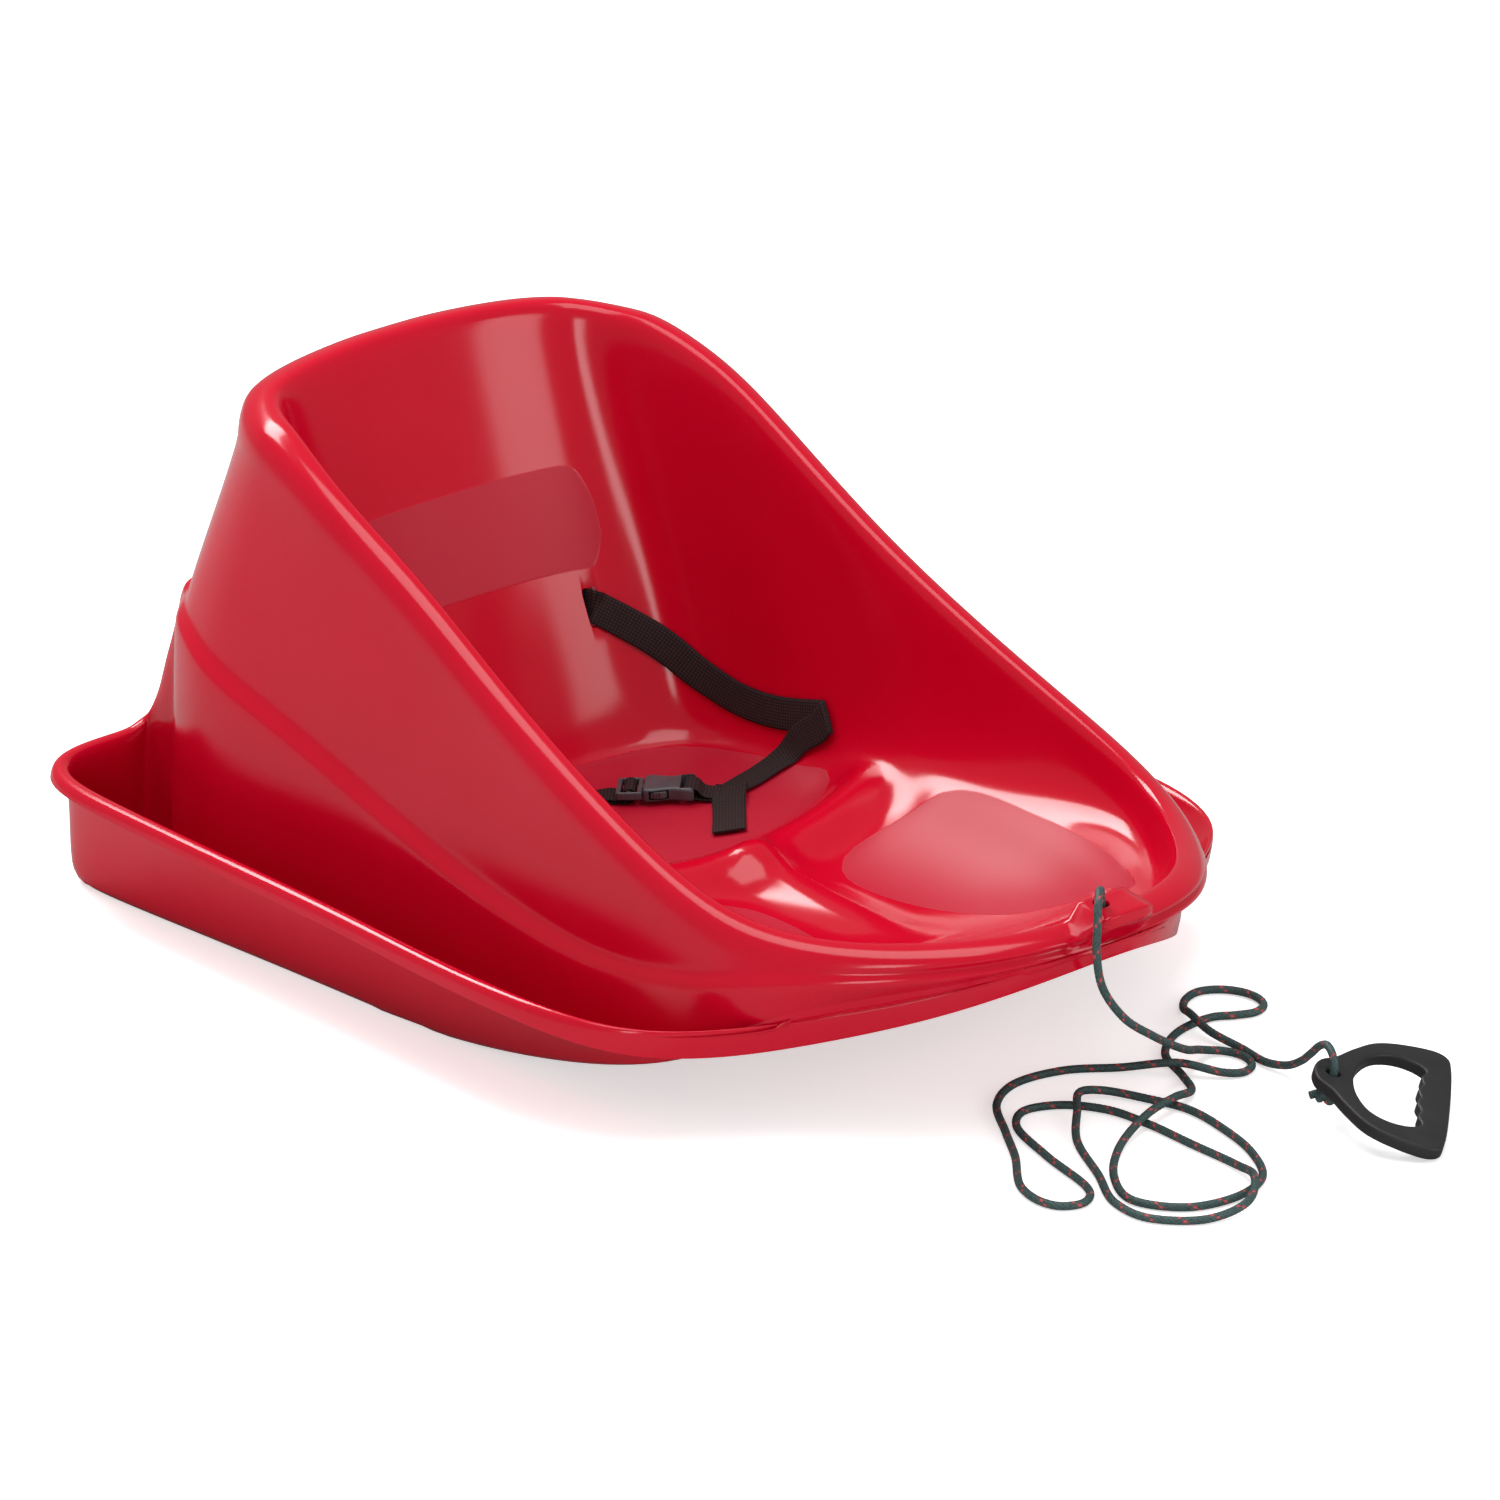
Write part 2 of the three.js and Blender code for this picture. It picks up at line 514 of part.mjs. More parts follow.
socket = socket
  .subtract(slab(mouth - slotOver, wellEnd, -wellHalf, wellHalf, -wellTall / 2, wellTall / 2))
  .subtract(slab(...windowSpan, -2 * buckleHalf, 2 * buckleHalf, -wellTall / 2, wellTall / 2))
  .subtract(slab(...socketSlot, -loopHalf, loopHalf, -over, over))
  .subtract(slab(socketSlot[0], 2 * socketEnd, -loopHalf, loopHalf, barTall / 2, over))
  .subtract(slab(socketSlot[0], 2 * socketEnd, -loopHalf, loopHalf, -over, -barTall / 2));
addPiece("buckle_socket", toBuckle(socket), darkGrey);

// Plug: a frame with two slots that the webbing is threaded through, and a middle tongue.
const plugCorner = 2;
const plugOutline = [
  [plugEnd + plugCorner, -buckleHalf], [plugFront, -buckleHalf], [plugFront, buckleHalf],
  [plugEnd + plugCorner, buckleHalf], [plugEnd, buckleHalf - plugCorner], [plugEnd, plugCorner - buckleHalf],
];
const tongueEnd = 6;
const tongueHalf = 2.6;
let plug = plate(plugOutline, plugTall);
for (const span of [slotA, slotB])
  plug = plug.subtract(slab(...span, -loopHalf, loopHalf, -over, over));
plug = plug.add(slab(plugFront - 1, tongueEnd, -tongueHalf, tongueHalf, -armTall / 2, armTall / 2));
addPiece("buckle_plug", toBuckle(plug), darkGrey);

// Two sprung arms beside the tongue; their thumb pads stand out through the socket's side windows.
const armShares = [
  [-0.5, 0.532], [0.131, 0.57], [0.431, 0.608], [0.471, 0.759], [0.327, 0.924], [0.065, 0.987],
  [-0.196, 0.956], [-0.222, 0.747], [-0.5, 0.734],
];
for (const side of [-1, 1]) {
  let outline = armShares.map(([u, v]) => [u * socketHalfLength, side * v * buckleHalf]);
  if (side < 0) outline = outline.reverse();
  addPiece(side < 0 ? "release_arm_left" : "release_arm_right", toBuckle(plate(outline, armTall)), darkGrey);
}

// Webbing: one strap threaded through the plug, up the seat to one slot, behind the back, out of the
// other slot and along the side to a fold, back to the socket's bar and away again as a loose tail.
const lower = fit + webbingThick / 2;
const layer = webbingThick + fit;
const beltBack = [0, 0.375, 0.927];
const v = across;
const threaded = [
  [inBuckle(-31, 0, -5.1), v], [inBuckle(-24, 0, -5.3), v], [inBuckle(-16.2, 0, -5.2), v],
  [inBuckle(-13.4, 0, -3.6), v], [inBuckle(-12.8, 0, -0.4), v], [inBuckle(-13.6, 0, 2.9), v],
  [inBuckle(-16, 0, 3.6), v], [inBuckle(-18.4, 0, 2.9), v], [inBuckle(-19.2, 0, 0), v],
  [inBuckle(-19.9, 0, -2.9), v], [inBuckle(-22.4, 0, -3.6), v], [onFloor(-29, 0, 1.6 * lower + layer), v],
  [onFloor(-40, 0, 1.5 * lower), v],
];
const upSeatShares = [
  [[-0.04, 0.228, 0.202], [0.5, 0.85, 0.15]], [[-0.135, 0.241, 0.245], [0.36, 0.8, 0.48]],
  [[-0.24, 0.254, 0.33], [0.2, 0.6, 0.77]], [[-0.312, 0.264, 0.425], beltBack],
];

// Behind the back it follows the wall: how far across, how high, and how far it stands behind the skin.
const backLean = 0.927;
const standOff = (wall + fit + webbingThick / 2) / backLean;
const behindShares = [
  [-0.331, 0.435, -1.38], [-0.334, 0.4385, 0.49], [-0.322, 0.4385, 1.44], [-0.285, 0.4385, 1.35],
  [-0.2, 0.4385, 1.11], [0, 0.4385, 1.26], [0.2, 0.4385, 1.11], [0.285, 0.4385, 1.35],
  [0.324, 0.4385, 1.47], [0.337, 0.4385, 0.54], [0.338, 0.437, -1.32],
];
function skinBehind(x, z) {
  const find = (low, high, value, of) => {
    const rising = of(high) > of(low);
    for (let n = 0; n < 24; n++) {
      const middle = (low + high) / 2;
      if ((of(middle) < value) === rising) low = middle;
      else high = middle;
    }
    return (low + high) / 2;
  };
  const stationAt = (k) => find(15, 23, Math.abs(x), (s) => skinPoint(s, k)[0]);
  const ring = find(3, 5.5, z, (k) => skinPoint(stationAt(k), k)[2]);
  return skinPoint(stationAt(ring), ring)[1];
}
const behindBack = behindShares.map(([x, z, stand]) => {
  const [atX, , atZ] = place([x, 0, z]);
  return [[atX, skinBehind(atX, atZ) + stand * standOff, atZ], beltBack];
});
const upright = [0.15, 0.2, 0.95];
const sideRunShares = [
  [[0.375, 0.27, 0.413], upright], [[0.424, 0.252, 0.385], upright], [[0.457, 0.229, 0.345], upright],
  [[0.479, 0.192, 0.312], upright], [[0.487, 0.153, 0.298], upright], [[0.49, 0.107, 0.306], upright],
  [[0.487, 0.073, 0.336], upright], [[0.484, 0.0635, 0.338], upright],
  [[0.469, 0.067, 0.325], [0.3, 0.2, 0.93]],
  [[0.446, 0.0765, 0.293], [0.55, 0.25, 0.78]], [[0.418, 0.08, 0.262], [0.66, 0.36, 0.65]],
];
const nearFloor = [
  [[0.388, 0.0812, 5.6], [0.6, 0.6, 0.4]], [[0.352, 0.083, 3], [0.62, 0.74, 0.2]],
];
const socketLoop = [
  [onFloor(40, 0, 1.8 * lower), v], [onFloor(33, 0, 1.5 * lower), v], [inBuckle(26, 0, -4.4), v],
  [inBuckle(21.5, 0, -3.3), v], [inBuckle(18.3, 0, -2.9), v], [inBuckle(16.9, 0, 0), v],
  [inBuckle(18.3, 0, 2.9), v], [inBuckle(21.5, 0, 3.2), v], [inBuckle(24.6, 0, 2.2), v],
  [inBuckle(28, 0, -1.6), v], [onFloor(33, 0, 1.5 * lower + layer), v],
  [onFloor(38, 0, 1.8 * lower + layer), v], [onFloor(44, 0, 1.8 * lower + layer), v, -1],
];
const belt = strap([
  ...threaded, ...upSeatShares.map(([p, side]) => [place(p), side]), ...behindBack,
  ...sideRunShares.map(([p, side]) => [place(p), side]),
  ...nearFloor.map(([[x, y, clear], side]) => [[x * halfWidth, y * sledLength,
    floorHeight(x * halfWidth, y * sledLength) + clear * lower], side]),
  ...socketLoop,
], 2);
const tailTop = 1.8 * lower + layer + webbingThick - 0.1;
const tail = strap([
  [onFloor(44, 0, tailTop), ahead, -1], [onFloor(44, -10, tailTop), ahead],
  [onFloor(44, -14.5, 1.8 * lower + layer), ahead], [onFloor(44.6, -20, 1.8 * lower), ahead],
  [onFloor(46, -38, 3.6 * lower), ahead], [onFloor(47.5, -56, 5 * lower), ahead],
], 2);
addPiece("belt_webbing", belt.add(tail), webbing);

// Pull handle: a flat D-shaped moulding with an eye for the rope and finger grips along the bar. It lies
// tilted, the eye end propped on the rope's knot. Its place and the rope's way are in millimetres of a sled
// of the half width, length and height laidOn, and keep to the sled's own.
const handleLength = 81;
const handleWidth = 118;
const handleThick = 8;
const laidOn = [260, 700, 322];
const onSled = (p) => place(p.map((v, i) => v / laidOn[i]));
const handleEyeAt = onSled([93, -426.6, 28]);
const handleAlong = unit3([0.6746, -0.6875, -0.2687]);
const handleAcross = unit3([0.7294, 0.6767, 0.0998]);
const handleUp = cross3(handleAlong, handleAcross);
const handleOuterShares = [
  [-0.145, 0], [-0.11, -0.095], [0, -0.17], [0.12, -0.29], [0.28, -0.415], [0.48, -0.475], [0.74, -0.495],
  [0.825, -0.455], [0.85, -0.37], [0.865, 0], [0.85, 0.37], [0.825, 0.455], [0.74, 0.495], [0.48, 0.475],
  [0.28, 0.415], [0.12, 0.29], [0, 0.17], [-0.11, 0.095],
];
const handleInnerShares = [
  [0.15, 0], [0.19, -0.16], [0.29, -0.28], [0.43, -0.33], [0.58, -0.32], [0.665, -0.27], [0.635, -0.2],
  [0.65, -0.13], [0.62, -0.065], [0.64, 0], [0.62, 0.065], [0.65, 0.13], [0.635, 0.2], [0.665, 0.27],
  [0.58, 0.32], [0.43, 0.33], [0.29, 0.28], [0.19, 0.16],
];
const handleEyeRadius = 4.2;
const smooth = (shares, count) =>
  new THREE.CatmullRomCurve3(
    shares.map(([p, q]) => new THREE.Vector3(p * handleLength, q * handleWidth, 0)), true,
  ).getPoints(count).slice(0, count).map((p) => [p.x, p.y]);
const handleFlat = (outline, tall) => {
  const made = wasm.Manifold.extrude([outline], tall);
  return made.translate([0, 0, -tall / 2]);
};
let handle = handleFlat(smooth(handleOuterShares, 54), handleThick)
  .subtract(handleFlat(smooth(handleInnerShares, 54), 2 * handleThick))
  .subtract(wasm.Manifold.cylinder(2 * handleThick, handleEyeRadius, handleEyeRadius, 16, true));
const inHandle = (p, q, n) => add3(add3(add3(handleEyeAt, handleAlong, p), handleAcross, q), handleUp, n);
handle = handle.transform([...handleAlong, 0, ...handleAcross, 0, ...handleUp, 0, ...handleEyeAt, 1]);
addPiece("pull_handle", handle, black);

// Pull rope: a braided cord out of the boss, down over the nose and along the ground to the handle.
const ropeRadius = 2.5;
const ropeRoute = [
  [-7, -333, 121], [-7.5, -338.5, 135.5], [-10.7, -341.3, 145.8], [-18.3, -348.2, 150],
  [-25.9, -355.1, 145.8], [-29, -358, 135.5], [-29.5, -358, 119], [-24, -357, 96], [-6, -355, 72],
  [30, -343, 46], [73, -326, 20], [96, -313.5, 9.5], [107, -310, 5], [115.8, -313, 3],
  [119.5, -321.5, 2.8], [118.5, -332, 2.8], [112.5, -340.8, 2.8], [102.5, -343.8, 2.8], [92, -338.5, 4],
  [75, -319, 8.8], [54, -292, 3.5], [28, -272, 2.8], [-6, -267, 2.8], [-34, -281, 2.8],
  [-60, -316, 2.8], [-80, -345, 2.8], [-108, -380, 2.8], [-113.8, -402, 2.8], [-110, -414.5, 2.8],
  [-98.5, -420, 2.8], [-87.5, -415, 2.8], [-80, -404, 2.8], [-66, -356, 2.8], [-48, -312, 2.8],
  [-30, -300, 2.8], [-9, -308, 2.8], [6, -331, 2.8], [9, -362, 2.8], [7, -400, 2.8], [4, -440, 3.5],
  [-9, -468, 8.8], [-31, -485, 5], [-62, -484, 3], [-85, -460, 2.8], [-84, -432, 2.8],
  [-63, -396, 2.8], [-38, -352, 3.2], [-12, -325, 6], [2, -312, 8.8], [20, -312, 5], [34, -335, 3],
  [41, -362, 2.8], [36, -396, 2.8], [24, -432, 2.8], [3, -462, 2.8], [-26, -472, 2.8], [-58, -464, 2.8],
  [-74, -436, 2.8], [-59, -405, 2.8], [-25, -375, 4], [10, -361, 8.8], [38, -354, 8.8], [60, -345, 4],
  [73, -324, 3], [88, -294, 2.8], [116, -275, 2.8], [147, -272, 2.8], [159.5, -279, 2.8],
  [171.5, -283.5, 2.8], [182, -279.5, 2.8], [187.5, -269, 2.8], [187, -256, 2.8], [180, -244.5, 2.8],
  [168.5, -238.5, 2.8], [155.5, -241.5, 2.8], [144, -251, 3.5], [131, -271, 8.8], [126, -292, 6],
  [127, -318, 2.8], [122, -343, 3.5], [121, -360, 7], [114, -380, 18], [107.5, -395, 29.5],
  [102.3, -407.5, 39.5], [98.1, -417.5, 43.6], [94.8, -425.3, 40.5], [93.4, -428, 33],
];
const ropeSides = 8;
const ropeSteps = 190;
const circle = new THREE.Shape(
  Array.from({ length: ropeSides }, (_, i) => {
    const turn = (2 * Math.PI * i) / ropeSides;
    return new THREE.Vector2(ropeRadius * Math.cos(turn), ropeRadius * Math.sin(turn));
  }),
);
const ropeLine = new THREE.CatmullRomCurve3([
  ...ropeRoute.map((p) => new THREE.Vector3(...onSled(p))),
  new THREE.Vector3(...inHandle(0, 0, -handleThick / 2 - 0.6)),
]);
const tube = new THREE.ExtrudeGeometry(circle, {
  steps: ropeSteps, bevelEnabled: false, extrudePath: ropeLine,
});
const rope = new THREE.Mesh(tube, ropeGreen);
rope.name = "pull_rope";
group.add(rope);

// Knots: the stopper under the boss with its tail, and the knot under the handle's eye with its tail.
const knotRadius = 6.4;
const tailRadius = 2.5;
function knot(name, at, along, tailLength) {
  const body = wasm.Manifold.sphere(knotRadius, 16).scale([1, 0.92, 0.9]);
  const z = unit3(along);
  const x = unit3(cross3([0.31, 0.95, 0.02], z));
  const y = cross3(z, x);
  const tailPiece = wasm.Manifold.cylinder(tailLength, tailRadius, tailRadius * 1.1, 10, false)
    .translate([0, 0, knotRadius * 0.5]);
  const turned = tailPiece.transform([...x, 0, ...y, 0, ...z, 0, 0, 0, 0, 1]);
  addPiece(name, body.add(turned).translate(at), ropeGreen);
}
const knotGap = 0.5;
const underBoss = add3(onSled(ropeRoute[0]), [0, 0, -1], knotGap + knotRadius * 0.9);
knot("stopper_knot", underBoss, [0.45, -0.1, -0.9], 18);
knot("handle_knot", inHandle(0, 0, -handleThick / 2 - 0.6 - knotGap - knotRadius), [-0.75, 0.35, -0.15], 14);

export default group;
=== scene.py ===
"""Baby pull sled: a moulded bucket seat with a lap belt, a side-release buckle and a pull rope."""
import math

import bmesh
import bpy
import numpy as np
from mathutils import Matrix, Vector


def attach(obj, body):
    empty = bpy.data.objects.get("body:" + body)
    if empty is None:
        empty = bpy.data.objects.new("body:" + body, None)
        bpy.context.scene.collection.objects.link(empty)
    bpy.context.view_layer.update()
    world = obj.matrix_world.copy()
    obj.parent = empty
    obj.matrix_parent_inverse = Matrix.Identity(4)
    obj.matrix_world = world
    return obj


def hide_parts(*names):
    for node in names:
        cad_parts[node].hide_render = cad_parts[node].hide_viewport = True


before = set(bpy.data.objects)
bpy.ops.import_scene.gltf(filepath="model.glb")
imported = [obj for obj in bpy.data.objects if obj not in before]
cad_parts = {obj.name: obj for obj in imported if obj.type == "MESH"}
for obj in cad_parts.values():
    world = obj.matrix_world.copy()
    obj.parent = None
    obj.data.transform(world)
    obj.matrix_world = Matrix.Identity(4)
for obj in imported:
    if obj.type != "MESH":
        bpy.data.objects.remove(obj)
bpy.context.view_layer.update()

# Camera: a long lens in front of the nose and to one side, a little above the rim, so that the seat,
# the near wall and the whole rope are seen and the far side of the rim shows behind the belt.
AZIMUTH, ELEVATION = np.radians([-42.3, 21.5])
FOCAL_PIXELS = 14000.0
IMAGE_SIDE = 1500.0
SENSOR = 36.0
DISTANCE = 8.28709
ORIGIN_PIXEL = (713.56, 955.22)
to_right = np.array([math.cos(AZIMUTH), math.sin(AZIMUTH), 0.0])
to_camera = np.array([
    math.sin(AZIMUTH) * math.cos(ELEVATION),
    -math.cos(AZIMUTH) * math.cos(ELEVATION),
    math.sin(ELEVATION),
])
to_top = np.cross(to_camera, to_right)
offset = (np.array(ORIGIN_PIXEL) - IMAGE_SIDE / 2) / FOCAL_PIXELS * DISTANCE
camera_place = to_camera * DISTANCE - to_right * offset[0] + to_top * offset[1]
camera = bpy.data.objects.new("camera", bpy.data.cameras.new("camera"))
bpy.context.collection.objects.link(camera)
camera.location = camera_place
camera.rotation_euler = (math.pi / 2 - ELEVATION, 0.0, AZIMUTH)
camera.data.sensor_width = SENSOR
camera.data.lens = FOCAL_PIXELS / IMAGE_SIDE * SENSOR
camera.data.clip_end = 50.0
bpy.context.scene.camera = camera

# Pull rope: a braided polypropylene cord 5 mm thick, teal-grey yarns with red tracers. It comes up
# through the nose boss, falls over the nose and lies in loose crossing loops as far as the handle.
ROPE_RADIUS = 0.0025
ROPE_STEP = 0.0009
ROPE_SIDES = 24
YARNS = 6
YARN_TURN = 0.0185
YARN_RELIEF = 0.0003
CURVE_PARTS = 60
rope_route = np.array([
    (-7, -333.2, 117), (-7.5, -338.5, 135.5), (-10.7, -341.3, 145.8), (-18.3, -348.2, 150),
    (-25.9, -355.1, 145.8), (-29, -358, 135.5), (-29.5, -358, 119), (-24, -357, 96), (-6, -355, 72),
    (30, -343, 46), (73, -326, 20), (96, -313.5, 9.5), (107, -310, 5), (115.8, -313, 3),
    (119.5, -321.5, 2.8), (118.5, -332, 2.8), (112.5, -340.8, 2.8), (102.5, -343.8, 2.8),
    (92, -338.5, 4), (75, -319, 8.8), (54, -292, 3.5), (28, -272, 2.8), (-6, -267, 2.8),
    (-34, -281, 2.8), (-60, -316, 2.8), (-80, -345, 2.8), (-108, -380, 2.8), (-113.8, -402, 2.8),
    (-110, -414.5, 2.8), (-98.5, -420, 2.8), (-87.5, -415, 2.8), (-80, -404, 2.8), (-66, -356, 2.8),
    (-48, -312, 2.8), (-30, -300, 2.8), (-9, -308, 2.8), (6, -331, 2.8), (9, -362, 2.8), (7, -400, 2.8),
    (4, -440, 3.5), (-9, -468, 8.8), (-31, -485, 5), (-62, -484, 3), (-85, -460, 2.8),
    (-84, -432, 2.8), (-63, -396, 2.8), (-38, -352, 3.2), (-12, -325, 6), (2, -312, 8.8), (20, -312, 5),
    (34, -335, 3), (41, -362, 2.8), (36, -396, 2.8), (24, -432, 2.8), (3, -462, 2.8),
    (-26, -472, 2.8), (-58, -464, 2.8), (-74, -436, 2.8), (-59, -405, 2.8), (-25, -375, 4),
    (10, -361, 8.8), (38, -354, 8.8), (60, -345, 4), (73, -324, 3), (88, -294, 2.8), (116, -275, 2.8),
    (147, -272, 2.8), (159.5, -279, 2.8), (171.5, -283.5, 2.8), (182, -279.5, 2.8), (187.5, -269, 2.8),
    (187, -256, 2.8), (180, -244.5, 2.8), (168.5, -238.5, 2.8), (155.5, -241.5, 2.8), (144, -251, 3.5),
    (131, -271, 8.8), (126, -292, 6), (127, -318, 2.8), (122, -343, 3.5), (121, -360, 7),
    (114, -380, 18), (107.5, -395, 29.5), (102.3, -407.5, 39.5), (98.1, -417.5, 43.6),
    (94.8, -425.3, 40.5), (93.4, -428, 33), (92.1, -424.5, 20.4),
]) / 1000.0


def unit(vectors):
    """Each vector divided by its own length."""
    return vectors / np.maximum(np.linalg.norm(vectors, axis=-1, keepdims=True), 1e-12)


def cubic(a, b, leaving, arriving, t):
    """The cubic from a to b as t runs from 0 to 1, with the given slopes at its two ends."""
    return (a * (2 * t**3 - 3 * t**2 + 1) + leaving * (t**3 - 2 * t**2 + t)
            + b * (3 * t**2 - 2 * t**3) + arriving * (t**3 - t**2))


def smooth_line(points, parts, closed=False):
    """Centripetal Catmull-Rom line and the run along it: between two points a cubic drawn in so many
    parts, whose slopes come from the neighbouring points with knots spaced by the square root of the
    distances."""
    before, after = (points[-1:], points[:2]) if closed else (
        2 * points[:1] - points[1:2], 2 * points[-1:] - points[-2:-1])
    p = np.concatenate([before, points, after])
    gap = np.sqrt(np.linalg.norm(np.diff(p, axis=0), axis=1))[:, None]
    slope = np.diff(p, axis=0) / gap
    tangent = slope[:-1] + slope[1:] - (p[2:] - p[:-2]) / (gap[:-1] + gap[1:])
    leaving, arriving = (tangent[:-1] * gap[1:-1])[:, None], (tangent[1:] * gap[1:-1])[:, None]
    t = np.linspace(0, 1, parts, endpoint=False)[None, :, None]
    line = cubic(p[1:-2][:, None], p[2:-1][:, None], leaving, arriving, t).reshape(-1, points.shape[1])
    line = np.concatenate([line, line[:1] if closed else points[-1:]])
    return line, np.concatenate([[0], np.cumsum(np.linalg.norm(np.diff(line, axis=0), axis=1))])


def between(at, marks, rows):
    """Rows of a table at given places along it, straight between the marks that its own rows stand at."""
    return np.stack([np.interp(at, marks, column) for column in rows.T], axis=1)


def curve_through(points, step, closed=False):
    """A smooth line through points, cut into even steps, and the run along it of each step."""
    line, run = smooth_line(points, CURVE_PARTS, closed)
    even = np.linspace(0, run[-1], max(int(round(run[-1] / step)), 8) + 1)
    if closed:
        even = even[:-1]
    return between(even, run, line), even


def cells(rows, columns, ring=False):
    """Quads of a grid of points, rows by columns; ring joins the last column to the first."""
    i, j = np.meshgrid(np.arange(rows - 1), np.arange(columns if ring else columns - 1), indexing="ij")
    k = (j + 1) % columns
    return np.stack([i * columns + j, i * columns + k, (i + 1) * columns + k, (i + 1) * columns + j],
                    axis=-1).reshape(-1, 4)


def new_piece(name, points, faces, smooth=True):
    """A mesh object at the origin from points in metres and a list of faces."""
    mesh = bpy.data.meshes.new(name)
    mesh.from_pydata(np.asarray(points, float).reshape(-1, 3).tolist(), [], [list(f) for f in faces])
    mesh.polygons.foreach_set("use_smooth", np.full(len(mesh.polygons), smooth))
    mesh.validate()
    piece = bpy.data.objects.new(name, mesh)
    bpy.context.collection.objects.link(piece)
    return piece


def tube(path, radius, reference):
    """Points and faces of a tube: rings of the given radii round the path, each turned to a reference
    direction, and closed by a point in the middle of each end."""
    sides = radius.shape[1]
    ahead = unit(np.gradient(path, axis=0))
    side = unit(np.cross(ahead, reference))
    up = np.cross(side, ahead)
    turn = 2 * np.pi * np.arange(sides) / sides
    ring = path[:, None] + radius[..., None] * (
        np.cos(turn)[None, :, None] * side[:, None] + np.sin(turn)[None, :, None] * up[:, None])
    points = np.concatenate([ring.reshape(-1, 3), path[:1], path[-1:]])
    quads = cells(len(path), sides, ring=True)[:, ::-1]
    j = np.arange(sides)
    k = (j + 1) % sides
    last = (len(path) - 1) * sides
    ends = np.concatenate([
        np.stack([j, k, np.full(sides, len(path) * sides)], axis=1),
        np.stack([last + k, last + j, np.full(sides, len(path) * sides + 1)], axis=1),
    ])
    return points, quads.tolist() + ends.tolist()


def store(piece, **layers):
    """Keeps a number for each vertex of the piece under each given name, for its material to read."""
    for name, values in layers.items():
        layer = piece.data.attributes.new(name, "FLOAT", "POINT")
        layer.data.foreach_set("value", np.asarray(values, np.float32).ravel())


def braid(turn, run):
    """Height of a braid from 0 to 1, and where its tracer shows: two families of yarns wind opposite ways,
    each lies on top of the other in every second cell of their crossing pattern, and a round yarn's height
    is the square root of 4s(1 - s) across it. One yarn of one family is the tracer."""
    a = YARNS * (turn / (2 * np.pi) + run / YARN_TURN)
    b = YARNS * (turn / (2 * np.pi) - run / YARN_TURN)
    first = (np.floor(a) + np.floor(b)) % 2 < 1
    over = np.where(first, a, b) % 1.0
    under = np.where(first, b, a) % 1.0
    height = np.sqrt(4 * over * (1 - over)) * (0.6 + 0.4 * 4 * under * (1 - under))
    return height, first & (np.floor(a) % YARNS < 1)


def braided(name, path, run, reference):
    """A cord piece along a path with its yarns in relief and a tracer attribute on its vertices."""
    turn = 2 * np.pi * np.arange(ROPE_SIDES)[None, :] / ROPE_SIDES
    height, tracer = braid(turn, run[:, None])
    radius = ROPE_RADIUS - YARN_RELIEF + YARN_RELIEF * height
    piece = new_piece(name, *tube(path, radius, reference))
    store(piece, tracer=[*tracer.ravel(), 0, 0], relief=[*height.ravel(), 0, 0])
    return piece


def linear(colour):
    """An sRGB hex colour as linear RGBA: c / 12.92 up to 0.04045, else ((c + 0.055) / 1.055) ** 2.4."""
    c = np.array([int(colour[i:i + 2], 16) for i in (1, 3, 5)]) / 255.0
    c = np.where(c <= 0.04045, c / 12.92, ((c + 0.055) / 1.055) ** 2.4)
    return (*c.tolist(), 1.0)


def node(material, kind, inputs=None, **settings):
    """Adds a shader node. Settings are its own, and inputs are its sockets, each given a value, the socket
    of another node, or another node, which stands for its first output."""
    made = material.node_tree.nodes.new("ShaderNode" + kind)
    for key, value in settings.items():
        setattr(made, key, value)
    for key, value in (inputs or {}).items():
        if isinstance(value, bpy.types.Node):
            value = value.outputs[0]
        if isinstance(value, bpy.types.NodeSocket):
            material.node_tree.links.new(value, made.inputs[key])
        else:
            made.inputs[key].default_value = value
    return made


def empty_nodes(holder):
    """A new material or world with its nodes cleared."""
    holder.use_nodes = True
    holder.node_tree.nodes.clear()
    return holder


# Braided polypropylene: slick yarns that catch light along their backs, with painted shade darker in the
# gaps between them.
cord_material = empty_nodes(bpy.data.materials.new("braided_polypropylene"))
tracer = node(cord_material, "Attribute", attribute_name="tracer").outputs["Fac"]
relief = node(cord_material, "Attribute", attribute_name="relief").outputs["Fac"]
place = node(cord_material, "TexCoord").outputs["Object"]
fibre = node(cord_material, "TexNoise", {"Vector": place, "Scale": 700.0, "Detail": 3.0})
teal = node(cord_material, "MixRGB", {
    "Fac": fibre, "Color1": linear("#223a39"), "Color2": linear("#4a6664")})
yarn = node(cord_material, "MixRGB", {"Fac": tracer, "Color1": teal, "Color2": linear("#c4474a")})
# Painted shade: the yarns fade to a near-black green towards the low gaps between them, by the relief
# height.
crown = node(cord_material, "MapRange", {"Value": relief, "From Min": 0.15, "From Max": 0.8})
yarn_with_painted_shade = node(cord_material, "MixRGB", {"Fac": crown, "Color1": linear("#16201f"), "Color2": yarn})
bump = node(cord_material, "Bump", {"Height": fibre, "Distance": 0.0001, "Strength": 0.6})
cord_skin = node(cord_material, "BsdfPrincipled", {
    "Base Color": yarn_with_painted_shade, "Roughness": 0.55, "IOR": 1.49, "Normal": bump})
node(cord_material, "OutputMaterial", {"Surface": cord_skin})

UPWARD = unit(np.array([0.25, 0.9, 1.0]))
rope_path, rope_run = curve_through(rope_route, ROPE_STEP)
rope = braided("rope", rope_path, rope_run, UPWARD)
rope.data.materials.append(cord_material)
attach(rope, "sled")
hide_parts("pull_rope")

# Knots: the same cord tied in an overhand knot, once under the nose boss to stop it, and once behind the
# handle's eye. Each has a short cut tail.
KNOT_SCALE = 0.00148
KNOT_GAP = 0.35


